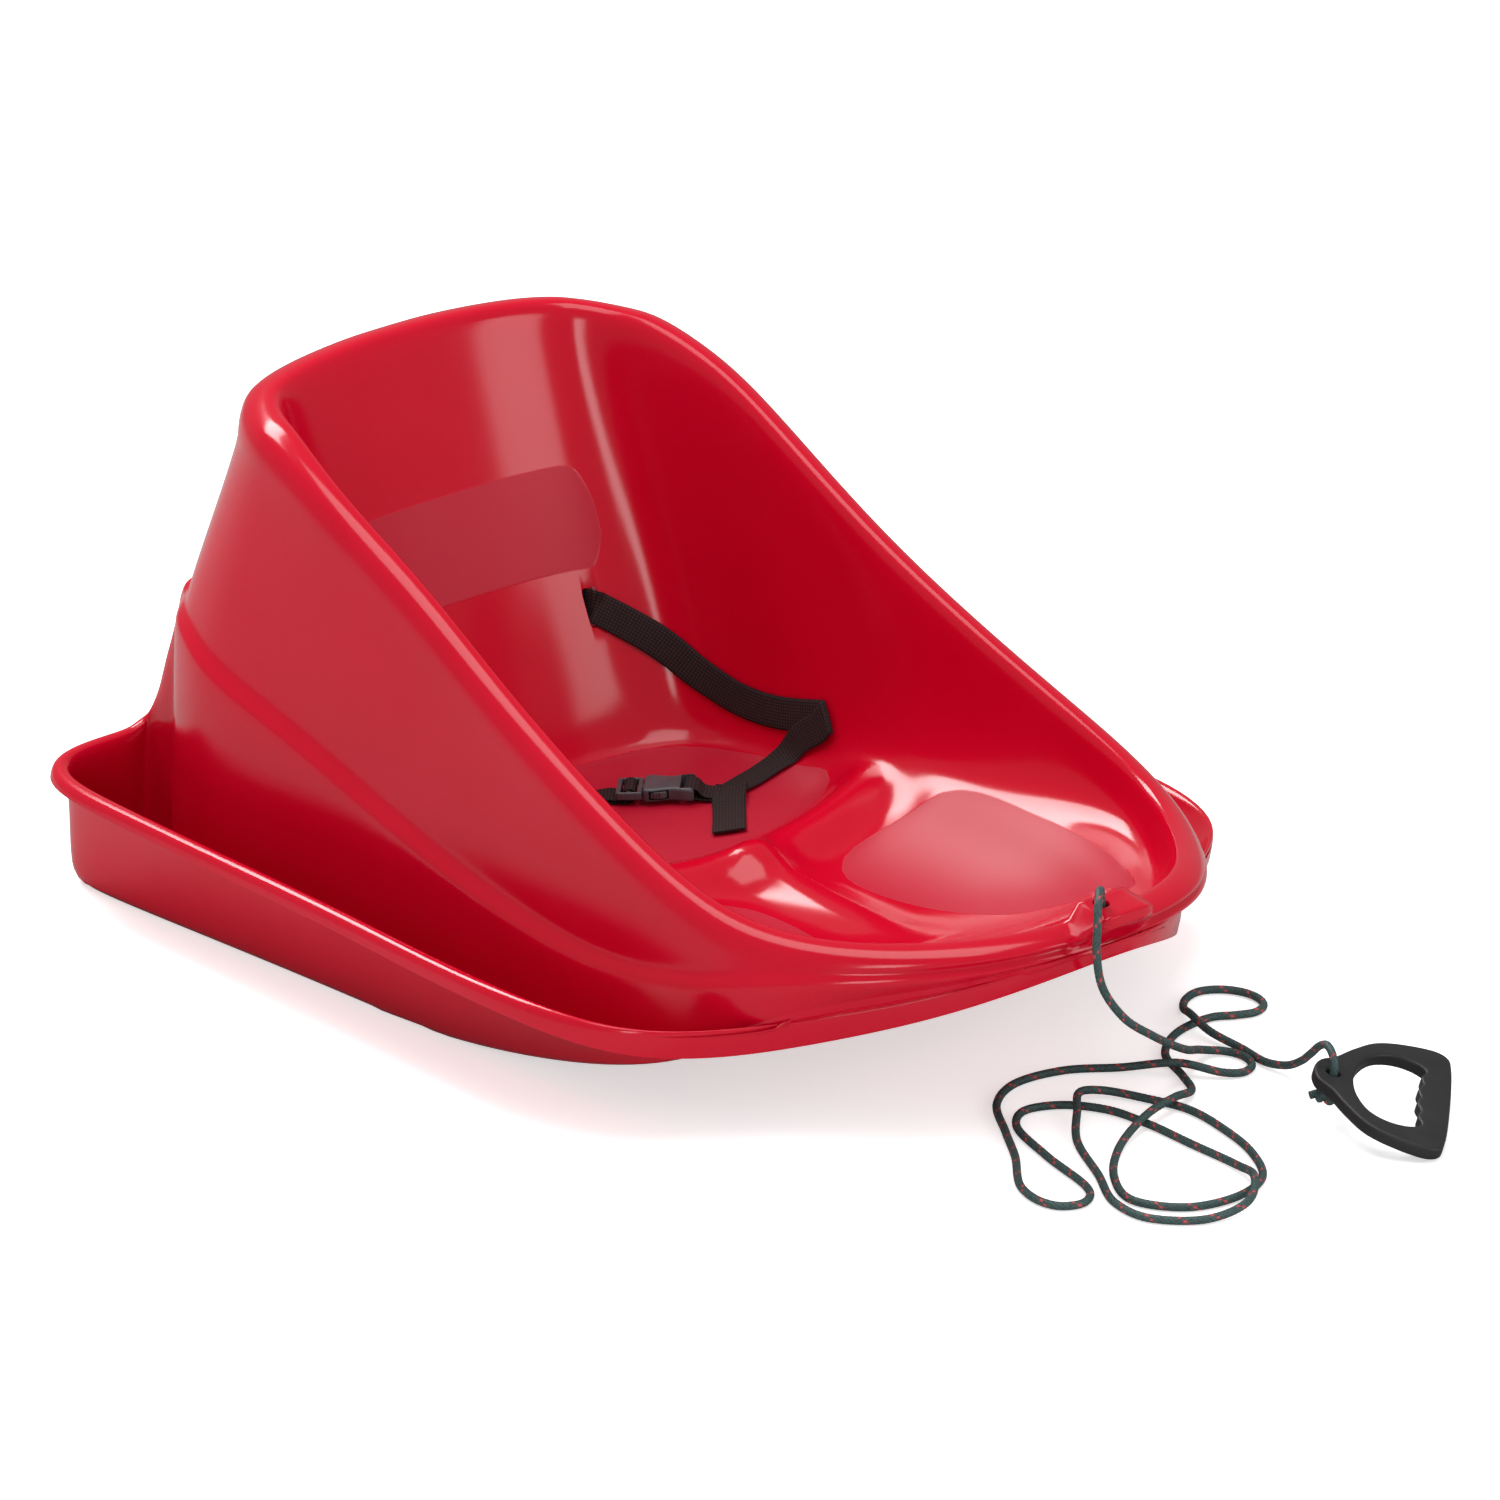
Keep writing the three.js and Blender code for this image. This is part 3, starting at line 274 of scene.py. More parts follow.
def overhand(name, middle, along, tail_way, tail_length, cad_node):
    """An overhand knot: most of the trefoil (sin t + 2 sin 2t, cos t - 2 cos 2t, -2.2 sin 3t) drawn tight,
    its axis along the cord, and then a straight tail."""
    t = np.linspace(KNOT_GAP, 2 * np.pi - KNOT_GAP, 40)
    loop = KNOT_SCALE * np.stack([np.sin(t) + 2 * np.sin(2 * t), np.cos(t) - 2 * np.cos(2 * t),
                                  -2.2 * np.sin(3 * t)], axis=1)
    axis = unit(np.array(along, float))
    first = unit(np.cross(axis, [0.31, 0.95, 0.02]))
    around = loop @ np.stack([first, np.cross(axis, first), axis])
    tail = around[-1] + np.outer(np.array([0.4, 0.7, 1.0]) * tail_length, unit(np.array(tail_way, float)))
    path, run = curve_through(np.concatenate([around, tail]) + middle, ROPE_STEP)
    share = np.linspace(0, 1, len(around) + 3)
    outward = np.concatenate([around, np.repeat(around[-1:], 3, axis=0)])
    piece = braided(name, path, run, between(run / run[-1], share, outward))
    piece.data.materials.append(cord_material)
    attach(piece, "sled")
    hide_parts(cad_node)
    return piece


stopper = overhand("rope_stopper_knot", (-0.007, -0.333, 0.1149), (0, 0, 1), (0.45, -0.1, -0.9), 0.015,
                   "stopper_knot")
handle_tie = overhand("rope_handle_knot", (0.0917, -0.4236, 0.0172), (0.1132, -0.2633, 0.958),
                      (-0.75, 0.35, -0.15), 0.013, "handle_knot")

# Pull handle: a flat D of moulded polypropylene, 8 mm thick, with an eye for the rope at its point and low
# ridges between the fingers along the inside of its bar. Its edges are rounded by the mould.
HANDLE_LENGTH = 0.081
HANDLE_WIDTH = 0.118
HANDLE_THICK = 0.008
HANDLE_ROUND = 0.0018
EYE_RADIUS = 0.0042
OUTLINE_STEP = 0.0012
eye_place = np.array([0.093, -0.4266, 0.028])
handle_along = unit(np.array([0.6746, -0.6875, -0.2687]))
handle_across = unit(np.array([0.7294, 0.6767, 0.0998]))
handle_up = np.cross(handle_along, handle_across)
outer_shares = np.array([
    (-0.145, 0), (-0.11, -0.095), (0, -0.17), (0.12, -0.29), (0.28, -0.415), (0.48, -0.475),
    (0.74, -0.495), (0.825, -0.455), (0.85, -0.37), (0.865, 0), (0.85, 0.37), (0.825, 0.455),
    (0.74, 0.495), (0.48, 0.475), (0.28, 0.415), (0.12, 0.29), (0, 0.17), (-0.11, 0.095),
])
inner_shares = np.array([
    (0.15, 0), (0.19, -0.16), (0.29, -0.28), (0.43, -0.33), (0.58, -0.32), (0.665, -0.27),
    (0.635, -0.2), (0.65, -0.13), (0.62, -0.065), (0.64, 0), (0.62, 0.065), (0.65, 0.13),
    (0.635, 0.2), (0.665, 0.27), (0.58, 0.32), (0.43, 0.33), (0.29, 0.28), (0.19, 0.16),
])


def worked_out(piece):
    """A new mesh of the piece with its curve or its modifiers worked out."""
    bpy.context.view_layer.update()
    return bpy.data.meshes.new_from_object(piece.evaluated_get(bpy.context.evaluated_depsgraph_get()))


def merge(mesh):
    """Joins vertices closer than a hundredth of a millimetre and turns all faces outwards."""
    work = bmesh.new()
    work.from_mesh(mesh)
    bmesh.ops.remove_doubles(work, verts=work.verts, dist=1e-5)
    bmesh.ops.recalc_face_normals(work, faces=work.faces)
    work.to_mesh(mesh)
    work.free()


def vertex_values(mesh, name):
    """The three numbers that the mesh keeps for each vertex under a name, such as its place."""
    values = np.zeros(len(mesh.vertices) * 3)
    mesh.vertices.foreach_get(name, values)
    return values.reshape(-1, 3)


def flat_moulding(name, outlines, thick, rounding, directions, origin):
    """A flat piece with holes: outlines in the plane, in metres, filled, given a thickness with rounded
    edges, and placed by its three directions and its origin."""
    drawing = bpy.data.curves.new(name, "CURVE")
    drawing.dimensions = "2D"
    drawing.fill_mode = "BOTH"
    drawing.extrude = thick / 2 - rounding
    drawing.bevel_depth = rounding
    drawing.bevel_resolution = 3
    drawing.offset = -rounding
    for outline in outlines:
        spline = drawing.splines.new("POLY")
        spline.points.add(len(outline) - 1)
        spline.points.foreach_set("co", np.column_stack([
            outline, np.zeros(len(outline)), np.ones(len(outline))]).ravel())
        spline.use_cyclic_u = True
    piece = bpy.data.objects.new(name, drawing)
    bpy.context.collection.objects.link(piece)
    mesh = worked_out(piece)
    bpy.data.objects.remove(piece)
    placed = vertex_values(mesh, "co") @ np.stack(directions) + origin
    mesh.vertices.foreach_set("co", placed.ravel())
    mesh.materials.clear()
    merge(mesh)
    mesh.name = name
    made = bpy.data.objects.new(name, mesh)
    bpy.context.collection.objects.link(made)
    return made


def shade(piece, degrees):
    """Smooth faces, with edges sharper than the angle kept crisp."""
    piece.data.polygons.foreach_set("use_smooth", np.ones(len(piece.data.polygons), bool))
    piece.data.set_sharp_from_angle(angle=math.radians(degrees))


def unit_circle(count):
    """Evenly spaced points of a circle of radius 1."""
    turn = 2 * np.pi * np.arange(count) / count
    return np.column_stack([np.cos(turn), np.sin(turn)])


plane = np.array([HANDLE_LENGTH, HANDLE_WIDTH])
handle = flat_moulding("handle_grip", [
    curve_through(outer_shares * plane, OUTLINE_STEP, closed=True)[0],
    curve_through(inner_shares * plane, OUTLINE_STEP, closed=True)[0],
    EYE_RADIUS * unit_circle(40),
], HANDLE_THICK, HANDLE_ROUND, (handle_along, handle_across, handle_up), eye_place)
shade(handle, 40)

# Moulded polypropylene with a fine spark-eroded texture: nearly black, with a soft broad shine.
handle_material = empty_nodes(bpy.data.materials.new("textured_polypropylene"))
place = node(handle_material, "TexCoord").outputs["Object"]
grit = node(handle_material, "TexNoise", {"Vector": place, "Scale": 900.0, "Detail": 4.0})
cloud = node(handle_material, "TexNoise", {"Vector": place, "Scale": 45.0, "Detail": 2.0})
tone = node(handle_material, "MixRGB", {
    "Fac": cloud, "Color1": linear("#171719"), "Color2": linear("#242426")})
shine = node(handle_material, "MapRange", {"Value": cloud, "To Min": 0.42, "To Max": 0.58})
bump = node(handle_material, "Bump", {"Height": grit, "Distance": 0.00012, "Strength": 0.5})
handle_skin = node(handle_material, "BsdfPrincipled", {
    "Base Color": tone, "Roughness": shine, "IOR": 1.49, "Normal": bump})
node(handle_material, "OutputMaterial", {"Surface": handle_skin})
handle.data.materials.append(handle_material)
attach(handle, "handle")
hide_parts("pull_handle")

# Shell: one sheet of red high-density polyethylene, about 3.5 mm thick, drawn over a mould and trimmed
# along its hem. The tub, the rolled rim, the two troughs that it runs on and the nose boss are one skin.
# Tables run round one side from the nose to the middle of the back, in millimetres.
WALL = 3.5
RIM_ROLL = 10.5
RIM_FULLER = 5.5
crest = np.array([
    (0, -333, 126), (43, -329, 126), (86, -310, 124), (126, -267, 120), (157, -217, 122), (169, -166, 136),
    (165, -84, 166), (158, 11, 208), (154, 79, 247), (156, 145, 281), (152, 179, 296), (147, 204, 305),
    (143, 219, 309), (138, 232, 310), (133, 242, 311), (128, 250, 312), (122, 257, 313), (115, 264, 314),
    (105, 269, 315), (91, 274, 316), (72, 278, 317), (48, 281, 318), (24, 282, 319), (0, 282, 319),
], float)
facing = np.radians([
    -90, -83, -62, -45, -25, -5, 5, 4, 0, 0, 8, 18, 28, 38, 46, 53, 60, 67, 74, 80, 84, 87, 89, 90])
lip_facing = np.radians([
    -90, -84, -72, -72, -66, -30, 2, 4, 3, 2, 3, 12, 50, 88, 90, 90, 90, 90, 90, 90, 90, 90, 90, 90])
floor_edge = np.array([
    (0, -270), (32, -266), (64, -250), (92, -220), (111, -180), (118, -137), (118, -70), (117, 3),
    (115, 55), (115, 98), (114, 117), (111, 129), (107, 138), (103, 144), (98, 148), (92, 151), (87, 154),
    (80, 156), (73, 158), (62, 160), (49, 162), (33, 163), (16, 164), (0, 164),
], float)
spine = np.array([
    -234, -224, -209, -184, -154, -118, -67, -10, 28, 62, 79, 91, 99, 105, 108, 110, 112, 114, 116, 118,
    120, 121, 122, 123,
], float)
step = np.array([
    (0, -342, 119), (45, -336, 117), (93, -317, 113), (136, -276, 108), (171, -228, 104), (184, -175, 90),
    (182, -92, 80), (177, 3, 93), (175, 76, 111), (175, 149, 135), (176, 195, 149), (176, 230, 158),
    (174, 254, 166), (167, 274, 173), (160, 289, 177), (152, 299, 180), (144, 306, 182), (138, 311, 182),
    (130, 314, 183), (111, 317, 184), (87, 319, 185), (57, 320, 186), (28, 320, 186), (0, 320, 186),
], float)
foot = np.array([
    (0, -346, 116), (46, -336, 110), (96, -307, 100), (139, -258, 88), (172, -224, 74), (188, -186, 48),
    (186, -99, 18), (184, 3, -0.6), (184, 76, -1.9), (184, 154, -1.9), (186, 203, -1.9), (185, 240, -1.9),
    (181, 266, -1), (174, 286, 1.6), (166, 302, 1.6), (158, 313, 1.6),
], float)
trough = np.array([
    (0, -347, 114), (46, -336, 107), (97, -304, 96), (142, -250, 80), (180, -216, 66), (199, -183, 44),
    (199, -101, 18), (199, 3, 0.6), (199, 76, -1.9), (200, 159, -1.9), (203, 258, -1.9), (205, 330, -1.9),
    (200, 349, -1), (174, 347, 1), (161, 340, 4), (154, 337, 4),
], float)
lip = np.array([
    (0, -348, 116), (46, -335, 107), (98, -300, 90), (144, -242, 71), (199, -211, 69), (245, -179, 74),
    (258, -104, 78), (250, -17, 76), (244, 66, 77), (240, 159, 77), (236, 263, 78), (233, 325, 79),
    (214, 349, 82), (180, 353, 82), (160, 352, 82), (150, 351, 84), (146, 351, 86), (142, 351, 89),
    (134, 348, 84),
], float)
hem = np.array([
    (0, -349, 108), (46, -335, 98), (97, -299, 78), (141, -238, 55), (193, -208, 51), (247, -180, 60),
    (262, -104, 68), (255, -17, 67), (249, 66, 69), (245, 159, 69), (241, 263, 71), (239, 325, 73),
    (219, 352, 76), (180, 355.3, 75), (160, 354.6, 74),
], float)
# The end wall behind each trough, by station, from TRIM_RING on.
gusset = {
    15: [(152, 316, 39), (151, 317, 5), (151, 336, 5), (150, 343, 15), (149, 346, 72)],
    16: [(146, 318, 129), (146, 320, 89), (146, 332, 68), (146, 341, 58), (146, 347, 80)],
    17: [(141, 319, 182), (141, 324, 167), (141, 332, 143), (141, 340, 117), (141, 346, 101),
         (141, 350, 93), (141, 353.2, 87), (141, 354.6, 79)],
    18: [(133, 321, 176), (132, 326, 161), (132, 334, 137), (132, 342, 111), (132, 348, 95),
         (132, 352, 86), (132, 353.5, 80), (133, 354.6, 73)],
}
floor_profile = np.array([
    (-345, 122), (-300, 112), (-270, 99), (-237, 82), (-195, 68), (-153, 61), (-112, 60), (-60, 61),
    (-28, 63), (13, 61), (65, 59), (122, 57), (164, 60), (215, 72),
], float)
# The floor's own sizes: how far its table holds, and the rise and reach of what is moulded into it.
FLOOR_ENDS = (-343.0, 210.0)
FLOOR_HALF = 161.2
WELL_RISE = 30.0
BOWL_RISE = 12.0
RIDGE_RISE = 13.0
RIDGE_AT = -24.0
RIDGE_REACH = 21.0
POMMEL_RISE = 16.0
POMMEL_REACH = 17.0
# From BACK_STATION on, the stations lie behind the back, where the skin is trimmed at TRIM_RING.
BACK_STATION = 18
TRIM_RING = 15


def ease(a, b, value):
    """0 below a, 1 above b, and the cubic 3t^2 - 2t^3 between."""
    t = np.clip((value - a) / (b - a), 0, 1)
    return t * t * (3 - 2 * t)


def floor_height(x, y):
    """Height of the tub's floor in mm: a cubic curve along the middle, raised towards the sides as the
    cube of x, and more so in front, a ridge exp(-s * s) across it, and a pommel that runs forward from the
    ridge and fades out."""
    at, value = floor_profile.T
    slope = np.empty(len(at))
    slope[1:-1] = (value[2:] - value[:-2]) / (at[2:] - at[:-2])
    slope[[0, -1]] = (value[1] - value[0]) / (at[1] - at[0]), (value[-1] - value[-2]) / (at[-1] - at[-2])
    along = np.clip(y, *FLOOR_ENDS)
    i = np.clip(np.searchsorted(at, along) - 1, 0, len(at) - 2)
    run = at[i + 1] - at[i]
    base = cubic(value[i], value[i + 1], slope[i] * run, slope[i + 1] * run, (along - at[i]) / run)
    side = np.minimum(np.abs(x), FLOOR_HALF)
    well = WELL_RISE * (side / 135) ** 3 * np.clip((-y - 10) / 60, 0, 1)
    bowl = BOWL_RISE * (side / 130) ** 3
    behind_ridge = (y - RIDGE_AT - 0.0014 * side**2) / RIDGE_REACH
    ridge = (RIDGE_RISE + 8 * (side / 130) ** 2) * np.exp(-(behind_ridge**2))
    fading = (1 - np.clip((-y - 20) / 170, 0, 1)) ** 0.8
    pommel = POMMEL_RISE * fading * np.exp(-((side / POMMEL_REACH) ** 2)) * np.clip((-y - 20) / 20, 0, 1)
    return base + well + bowl + ridge + pommel


def shell_net():
    """Control points, stations by rings: floor, side wall, rolled rim, outer wall, ledge, trough and lip,
    each ring set out from the tables along the way that its station faces. The ledge fades out in front."""
    count = len(crest)
    behind = np.arange(count)[:, None] >= BACK_STATION
    up = np.array([0.0, 0.0, 1.0])
    out = np.stack([np.cos(facing), np.sin(facing), 0 * facing], axis=1)
    lip_out = np.stack([np.cos(lip_facing), np.sin(lip_facing), 0 * lip_facing], axis=1)
    edge = np.column_stack([floor_edge, floor_height(*floor_edge.T)])
    middle = np.column_stack([0 * spine, spine, floor_height(0 * spine, spine)])
    half = 0.42 * middle + 0.58 * edge
    half[:, 2] = floor_height(half[:, 0], half[:, 1])
    cove = edge + out * 16 + up * 8
    upper = crest - out * RIM_ROLL - up * 2 * RIM_ROLL
    runner, bed, brim, edge_below = (
        np.concatenate([t, np.repeat(t[-1:], count - len(t), axis=0)]) for t in (foot, trough, lip, hem))
    deep = np.clip((brim[:, 2] - bed[:, 2] - 9) / 45, 0, 1)[:, None]
    roll = RIM_ROLL + RIM_FULLER * ease(8, 13, np.arange(count))[:, None]
    drop = np.clip((crest[:, 2] - step[:, 2]) * 0.6, 4, 100)[:, None]
    drop = np.minimum(drop, 16 + 0.8 * (roll - RIM_ROLL))
    under = crest + out * (roll + WALL) - up * drop
    marked = ease(4.5, 6.5, np.arange(count))[:, None]
    shelf = 4.5 + 2.5 * marked
    crease = crest + out * (roll + 0.7 * WALL) - up * (drop + 8)
    below = np.where(behind, step + out * 7 + up, step + (out - up) * shelf)
    low = np.where(behind, step + out * 9 - up * 8, runner + up * 12 * deep)
    face = step + out * (shelf + 1) - up * (shelf + 6)
    net = np.stack([
        middle, half, edge, cove, 0.6 * cove + 0.4 * upper + out * WALL, crest - out * roll - up * 2 * roll,
        crest - out * 0.6 * roll, crest + up * 2.5, crest + out * roll - up * 1.5, under,
        (0.67 * under + 0.33 * step) * (1 - marked) + crease * marked,
        (0.33 * under + 0.67 * step) * (1 - marked) + (step + up * 6) * marked,
        step, below, np.where(behind, (below + low) / 2, (below + low) / 2 * (1 - marked) + face * marked),
        low, runner, bed,
        bed + (lip_out * 4.8 + up * 12) * deep,
        brim - lip_out * (10 * deep + 1 - deep) - up * (11 * deep - 2),
        brim - lip_out * 6 * deep + up * 2, brim + lip_out * (1 + 3 * deep) + up, edge_below,
    ], axis=1)
    net[17, 13] = step[17] + out[17] * 4.5
    for station, points in gusset.items():
        net[station, TRIM_RING:TRIM_RING + len(points)] = points
    net[16:19, 14] = (net[16:19, 13] + net[16:19, 15]) / 2
    return net


BOSS_HALF = (17.0, 27.0)
BOSS_BEHIND = -250.0
BOSS_RISE = 11.0
BOSS_FRONT = -354.6
LAST_STATION = 23
LAST_RING = 22
STATION_PARTS = 7
RING_PARTS = 6


def shell_skin(stations, rings):
    """The outer skin: a uniform cubic B-spline sheet over the control points, with the nose boss pushed
    out of it, the floor's own height inside it, and the trough's foot flattened where it rests."""
    net = shell_net()
    mirror = np.array([-1, 1, 1])
    net = np.concatenate([net[1:2] * mirror, net, net[-2:-1] * mirror])
    net = np.concatenate([net[:, 1:2] * mirror, net, 2 * net[:, -1:] - net[:, -2:-1]], axis=1)

    def weights(at, count):
        i = np.minimum(at.astype(int), count - 2)
        t = at - i
        return i, np.stack([(1 - t)**3, 3 * t**3 - 6 * t**2 + 4, -3 * t**3 + 3 * t**2 + 3 * t + 1, t**3]) / 6

    i, a = weights(stations, len(crest))
    j, b = weights(rings, net.shape[1] - 2)
    points = sum(a[m][:, None, None] * b[n][None, :, None] * net[i + m][:, j + n]
                 for m in range(4) for n in range(4))
    x, y = points[..., 0], points[..., 1]
    boss = (1 - ease(*BOSS_HALF, np.abs(x))) * (y < BOSS_BEHIND)
    boss_top = (ease(5.9, 6.9, rings) * (1 - ease(12, 12.8, rings)))[None, :]
    boss_front = (ease(7.4, 8.4, rings) * (1 - ease(12, 12.8, rings)))[None, :]
    points[..., 2] += BOSS_RISE * boss * boss_top
    points[..., 1] += boss * boss_front * (BOSS_FRONT - y)
    wall_part = ease(1.6, 2.8, rings)[None, :]
    floor = floor_height(points[..., 0], points[..., 1])
    points[..., 2] = floor * (1 - wall_part) + points[..., 2] * wall_part
    resting = ((rings > 14) & (rings < 20))[None, :]
    points[..., 2] = np.where(resting, np.maximum(points[..., 2], WALL), points[..., 2])
    return points


station_steps = np.linspace(0, LAST_STATION, LAST_STATION * STATION_PARTS + 1)
ring_steps = np.linspace(0, LAST_RING, LAST_RING * RING_PARTS + 1)
half_skin = shell_skin(station_steps, ring_steps)
half_skin[[0, -1], :, 0] = 0
half_skin[:, 0, 0] = 0
quads = cells(*half_skin.shape[:2])
behind = (station_steps[quads[:, 0] // len(ring_steps)] >= BACK_STATION - 1e-9) & (
    ring_steps[quads[:, 0] % len(ring_steps)] >= TRIM_RING - 1e-9)
quads = quads[~behind]
both = np.concatenate([half_skin.reshape(-1, 3), half_skin.reshape(-1, 3) * [-1, 1, 1]])
both_quads = np.concatenate([quads, quads[:, ::-1] + half_skin.shape[0] * half_skin.shape[1]])


def walled(points, faces, thickness):
    """Joins equal points, sets an inner skin off by the thickness along the mean normal of the faces round
    each point, straight down where the skin rests, and closes the open edge between the two skins."""
    used, index = np.unique(np.round(points, 3)[faces.ravel()], axis=0, return_inverse=True)
    faces = index.reshape(faces.shape)
    a, b, c, d = (used[faces[:, n]] for n in range(4))
    turn = np.cross(c - a, d - b)
    normals = np.zeros_like(used)
    for n in range(4):
        np.add.at(normals, faces[:, n], turn)
    normals = unit(normals)
    normals[np.abs(used[:, 2] - thickness) < 1e-6] = (0, 0, 1)
    total = len(used)
    start, end = faces.ravel(), np.roll(faces, -1, axis=1).ravel()
    border = ~np.isin(start * total + end, end * total + start)
    start, end = start[border], end[border]
    rim = np.stack([end, start, start + total, end + total], axis=1)
    return np.concatenate([used, used - normals * thickness]), np.concatenate([
        faces, faces[:, ::-1] + total, rim])


skin, skin_faces = walled(both, both_quads, WALL)
shell = new_piece("shell_moulding", skin / 1000, skin_faces)

# Three holes are punched through the skin: two upright slots for the belt and the rope's hole in the boss.
SLOT_ACROSS = 10.0
SLOT_TALL = 23.0
SLOT_PLACE = (86.1, 200.2, 141.0)
HOLE_RADIUS = 5.0
HOLE_PLACE = (-7.8, -338.8, 138.5)
PUNCH_DEPTH = 40.0
PUNCH_CORNERS = 32


def punch(outline, middle, first, second, depth):
    """A closed prism to cut with: an outline in mm in the plane of two directions, pushed both ways."""
    first, second = np.array(first, float), np.array(second, float)
    through = np.cross(first, second) * depth / 2
    flat = np.array(middle) + outline[:, :1] * first + outline[:, 1:] * second
    n = len(flat)
    k = np.arange(n)
    sides = np.stack([k, (k + 1) % n, (k + 1) % n + n, k + n], axis=1)
    return np.concatenate([flat - through, flat + through]) / 1000, [
        *sides.tolist(), k[::-1].tolist(), (k + n).tolist()]


circle = unit_circle(PUNCH_CORNERS)
slot_outline = np.sign(circle) * np.abs(circle) ** [0.5, 0.25] * [SLOT_ACROSS / 2, SLOT_TALL / 2]
punches = [punch(slot_outline, np.array(SLOT_PLACE) * [side, 1, 1], (1, 0, 0), (0, 0, 1), PUNCH_DEPTH)
           for side in (1, -1)]
punches.append(punch(HOLE_RADIUS * circle, HOLE_PLACE, (1, 0, 0), (0, 1, 0), PUNCH_DEPTH))
punch_points = np.concatenate([points for points, faces in punches])
punch_faces = [[v + 2 * PUNCH_CORNERS * i for v in face]
               for i, (points, faces) in enumerate(punches) for face in faces]
punch_solid = new_piece("punches", punch_points, punch_faces, smooth=False)
merge(punch_solid.data)


def settle(piece):
    """Works out the piece's modifiers and takes them off."""
    mesh = worked_out(piece)
    piece.modifiers.clear()
    piece.data = mesh


def combine(piece, other, operation):
    """Cuts another solid out of a piece, or joins it to the piece, and takes the other away."""
    change = piece.modifiers.new("combined", "BOOLEAN")
    change.operation = operation
    change.solver = "EXACT"
    change.object = other
    settle(piece)
    bpy.data.objects.remove(other)


def soften(piece, width, degrees):
    """Rounds the piece's edges that are sharper than the angle, over a width in mm."""
    rounding = piece.modifiers.new("rounding", "BEVEL")
    rounding.limit_method = "ANGLE"
    rounding.angle_limit = math.radians(degrees)
    rounding.width = width / 1000
    rounding.segments = 2
    settle(piece)


combine(shell, punch_solid, "DIFFERENCE")
soften(shell, 0.7, 62)
shade(shell, 55)

# The mould is left matt in a few patches: a rounded label panel on the back, left blank, the two foot
# wells and the seat. Each is a distance in mm, below zero inside, that the material turns to a sharp edge.
PANEL_HALF = (102.0, 29.5)
PANEL_MIDDLE = 193.0
PANEL_CORNER = 15.0
FAR_OUTSIDE = 50.0
CHORD = 6.0
foot_patch = np.array([
    (35, -107), (44, -155), (58, -215), (84, -268), (110, -232), (122, -197), (129, -146), (127, -79),
    (112, -60), (82, -51), (55, -55), (38, -74),
], float)
seat_patch = np.array([
    (0, 168), (50, 164), (86, 155), (108, 134), (118, 100), (120, 60), (118, 28), (96, 12), (50, 2), (0, 0),
    (-50, 2), (-96, 12), (-118, 28), (-120, 60), (-118, 100), (-108, 134), (-86, 155), (-50, 164),
], float)


def inside_outline(x, y, outline):
    """Distance from points to a closed smooth outline, below zero inside: the nearest of its short
    chords, with the sign from how often a ray towards +x crosses them."""
    a = curve_through(outline, CHORD, closed=True)[0]
    b = np.roll(a, -1, axis=0)
    p = np.stack([x, y], axis=1)[:, None]
    along = np.clip(((p - a) * (b - a)).sum(-1) / ((b - a) ** 2).sum(-1), 0, 1)
    away = np.linalg.norm(p - a - along[..., None] * (b - a), axis=-1).min(1)
    above = (a[:, 1] > y[:, None]) != (b[:, 1] > y[:, None])
    rise = np.where(b[:, 1] == a[:, 1], 1.0, b[:, 1] - a[:, 1])
    crossing = (y[:, None] - a[:, 1]) / rise * (b[:, 0] - a[:, 0]) + a[:, 0]
    odd = (above & (x[:, None] < crossing)).sum(1) % 2 == 1
    return np.where(odd, -away, away)


x, y, z = vertex_values(shell.data, "co").T * 1000
normals = vertex_values(shell.data, "normal")
corner = np.stack([np.abs(x) - PANEL_HALF[0], np.abs(z - PANEL_MIDDLE) - PANEL_HALF[1]]) + PANEL_CORNER
panel = np.linalg.norm(np.maximum(corner, 0), axis=0) + np.minimum(corner.max(0), 0) - PANEL_CORNER
panel = np.where((normals[:, 1] < -0.2) & (y > 150), panel, FAR_OUTSIDE)
matt = np.full(len(x), FAR_OUTSIDE)
on_tub = (normals[:, 2] > 0.1) & (z < 160) & (np.abs(x) < 150) & (y > -290) & (y < 190)
matt[on_tub] = np.minimum(
    inside_outline(np.abs(x[on_tub]), y[on_tub], foot_patch),
    inside_outline(x[on_tub], y[on_tub], seat_patch))
store(shell, panel_distance=panel, matt_distance=matt)

# Glossy polyethylene: a deep red with a broad, slightly soft shine, faintly uneven from the mould, and
# satin where the mould was blasted.
shell_material = empty_nodes(bpy.data.materials.new("glossy_polyethylene"))
place = node(shell_material, "TexCoord").outputs["Object"]
panel_at = node(shell_material, "Attribute", attribute_name="panel_distance").outputs["Fac"]
matt_at = node(shell_material, "Attribute", attribute_name="matt_distance").outputs["Fac"]
in_panel = node(shell_material, "MapRange", {"Value": panel_at, "From Min": 0.5, "From Max": -0.5})
in_matt = node(shell_material, "MapRange", {"Value": matt_at, "From Min": 0.6, "From Max": -0.6})
blasted = node(shell_material, "Math", {0: in_panel, 1: in_matt}, operation="MAXIMUM")
swirl = node(shell_material, "TexNoise", {"Vector": place, "Scale": 14.0, "Detail": 3.0})
peel = node(shell_material, "TexNoise", {"Vector": place, "Scale": 320.0, "Detail": 2.0})
grain = node(shell_material, "TexNoise", {"Vector": place, "Scale": 1500.0, "Detail": 2.0})
red = node(shell_material, "MixRGB", {
    "Fac": swirl, "Color1": linear("#bb001f"), "Color2": linear("#c30427")})
worn = node(shell_material, "MixRGB", {"Fac": blasted, "Color1": red, "Color2": linear("#b4082a")})
gloss = node(shell_material, "MapRange", {"Value": swirl, "To Min": 0.13, "To Max": 0.18})
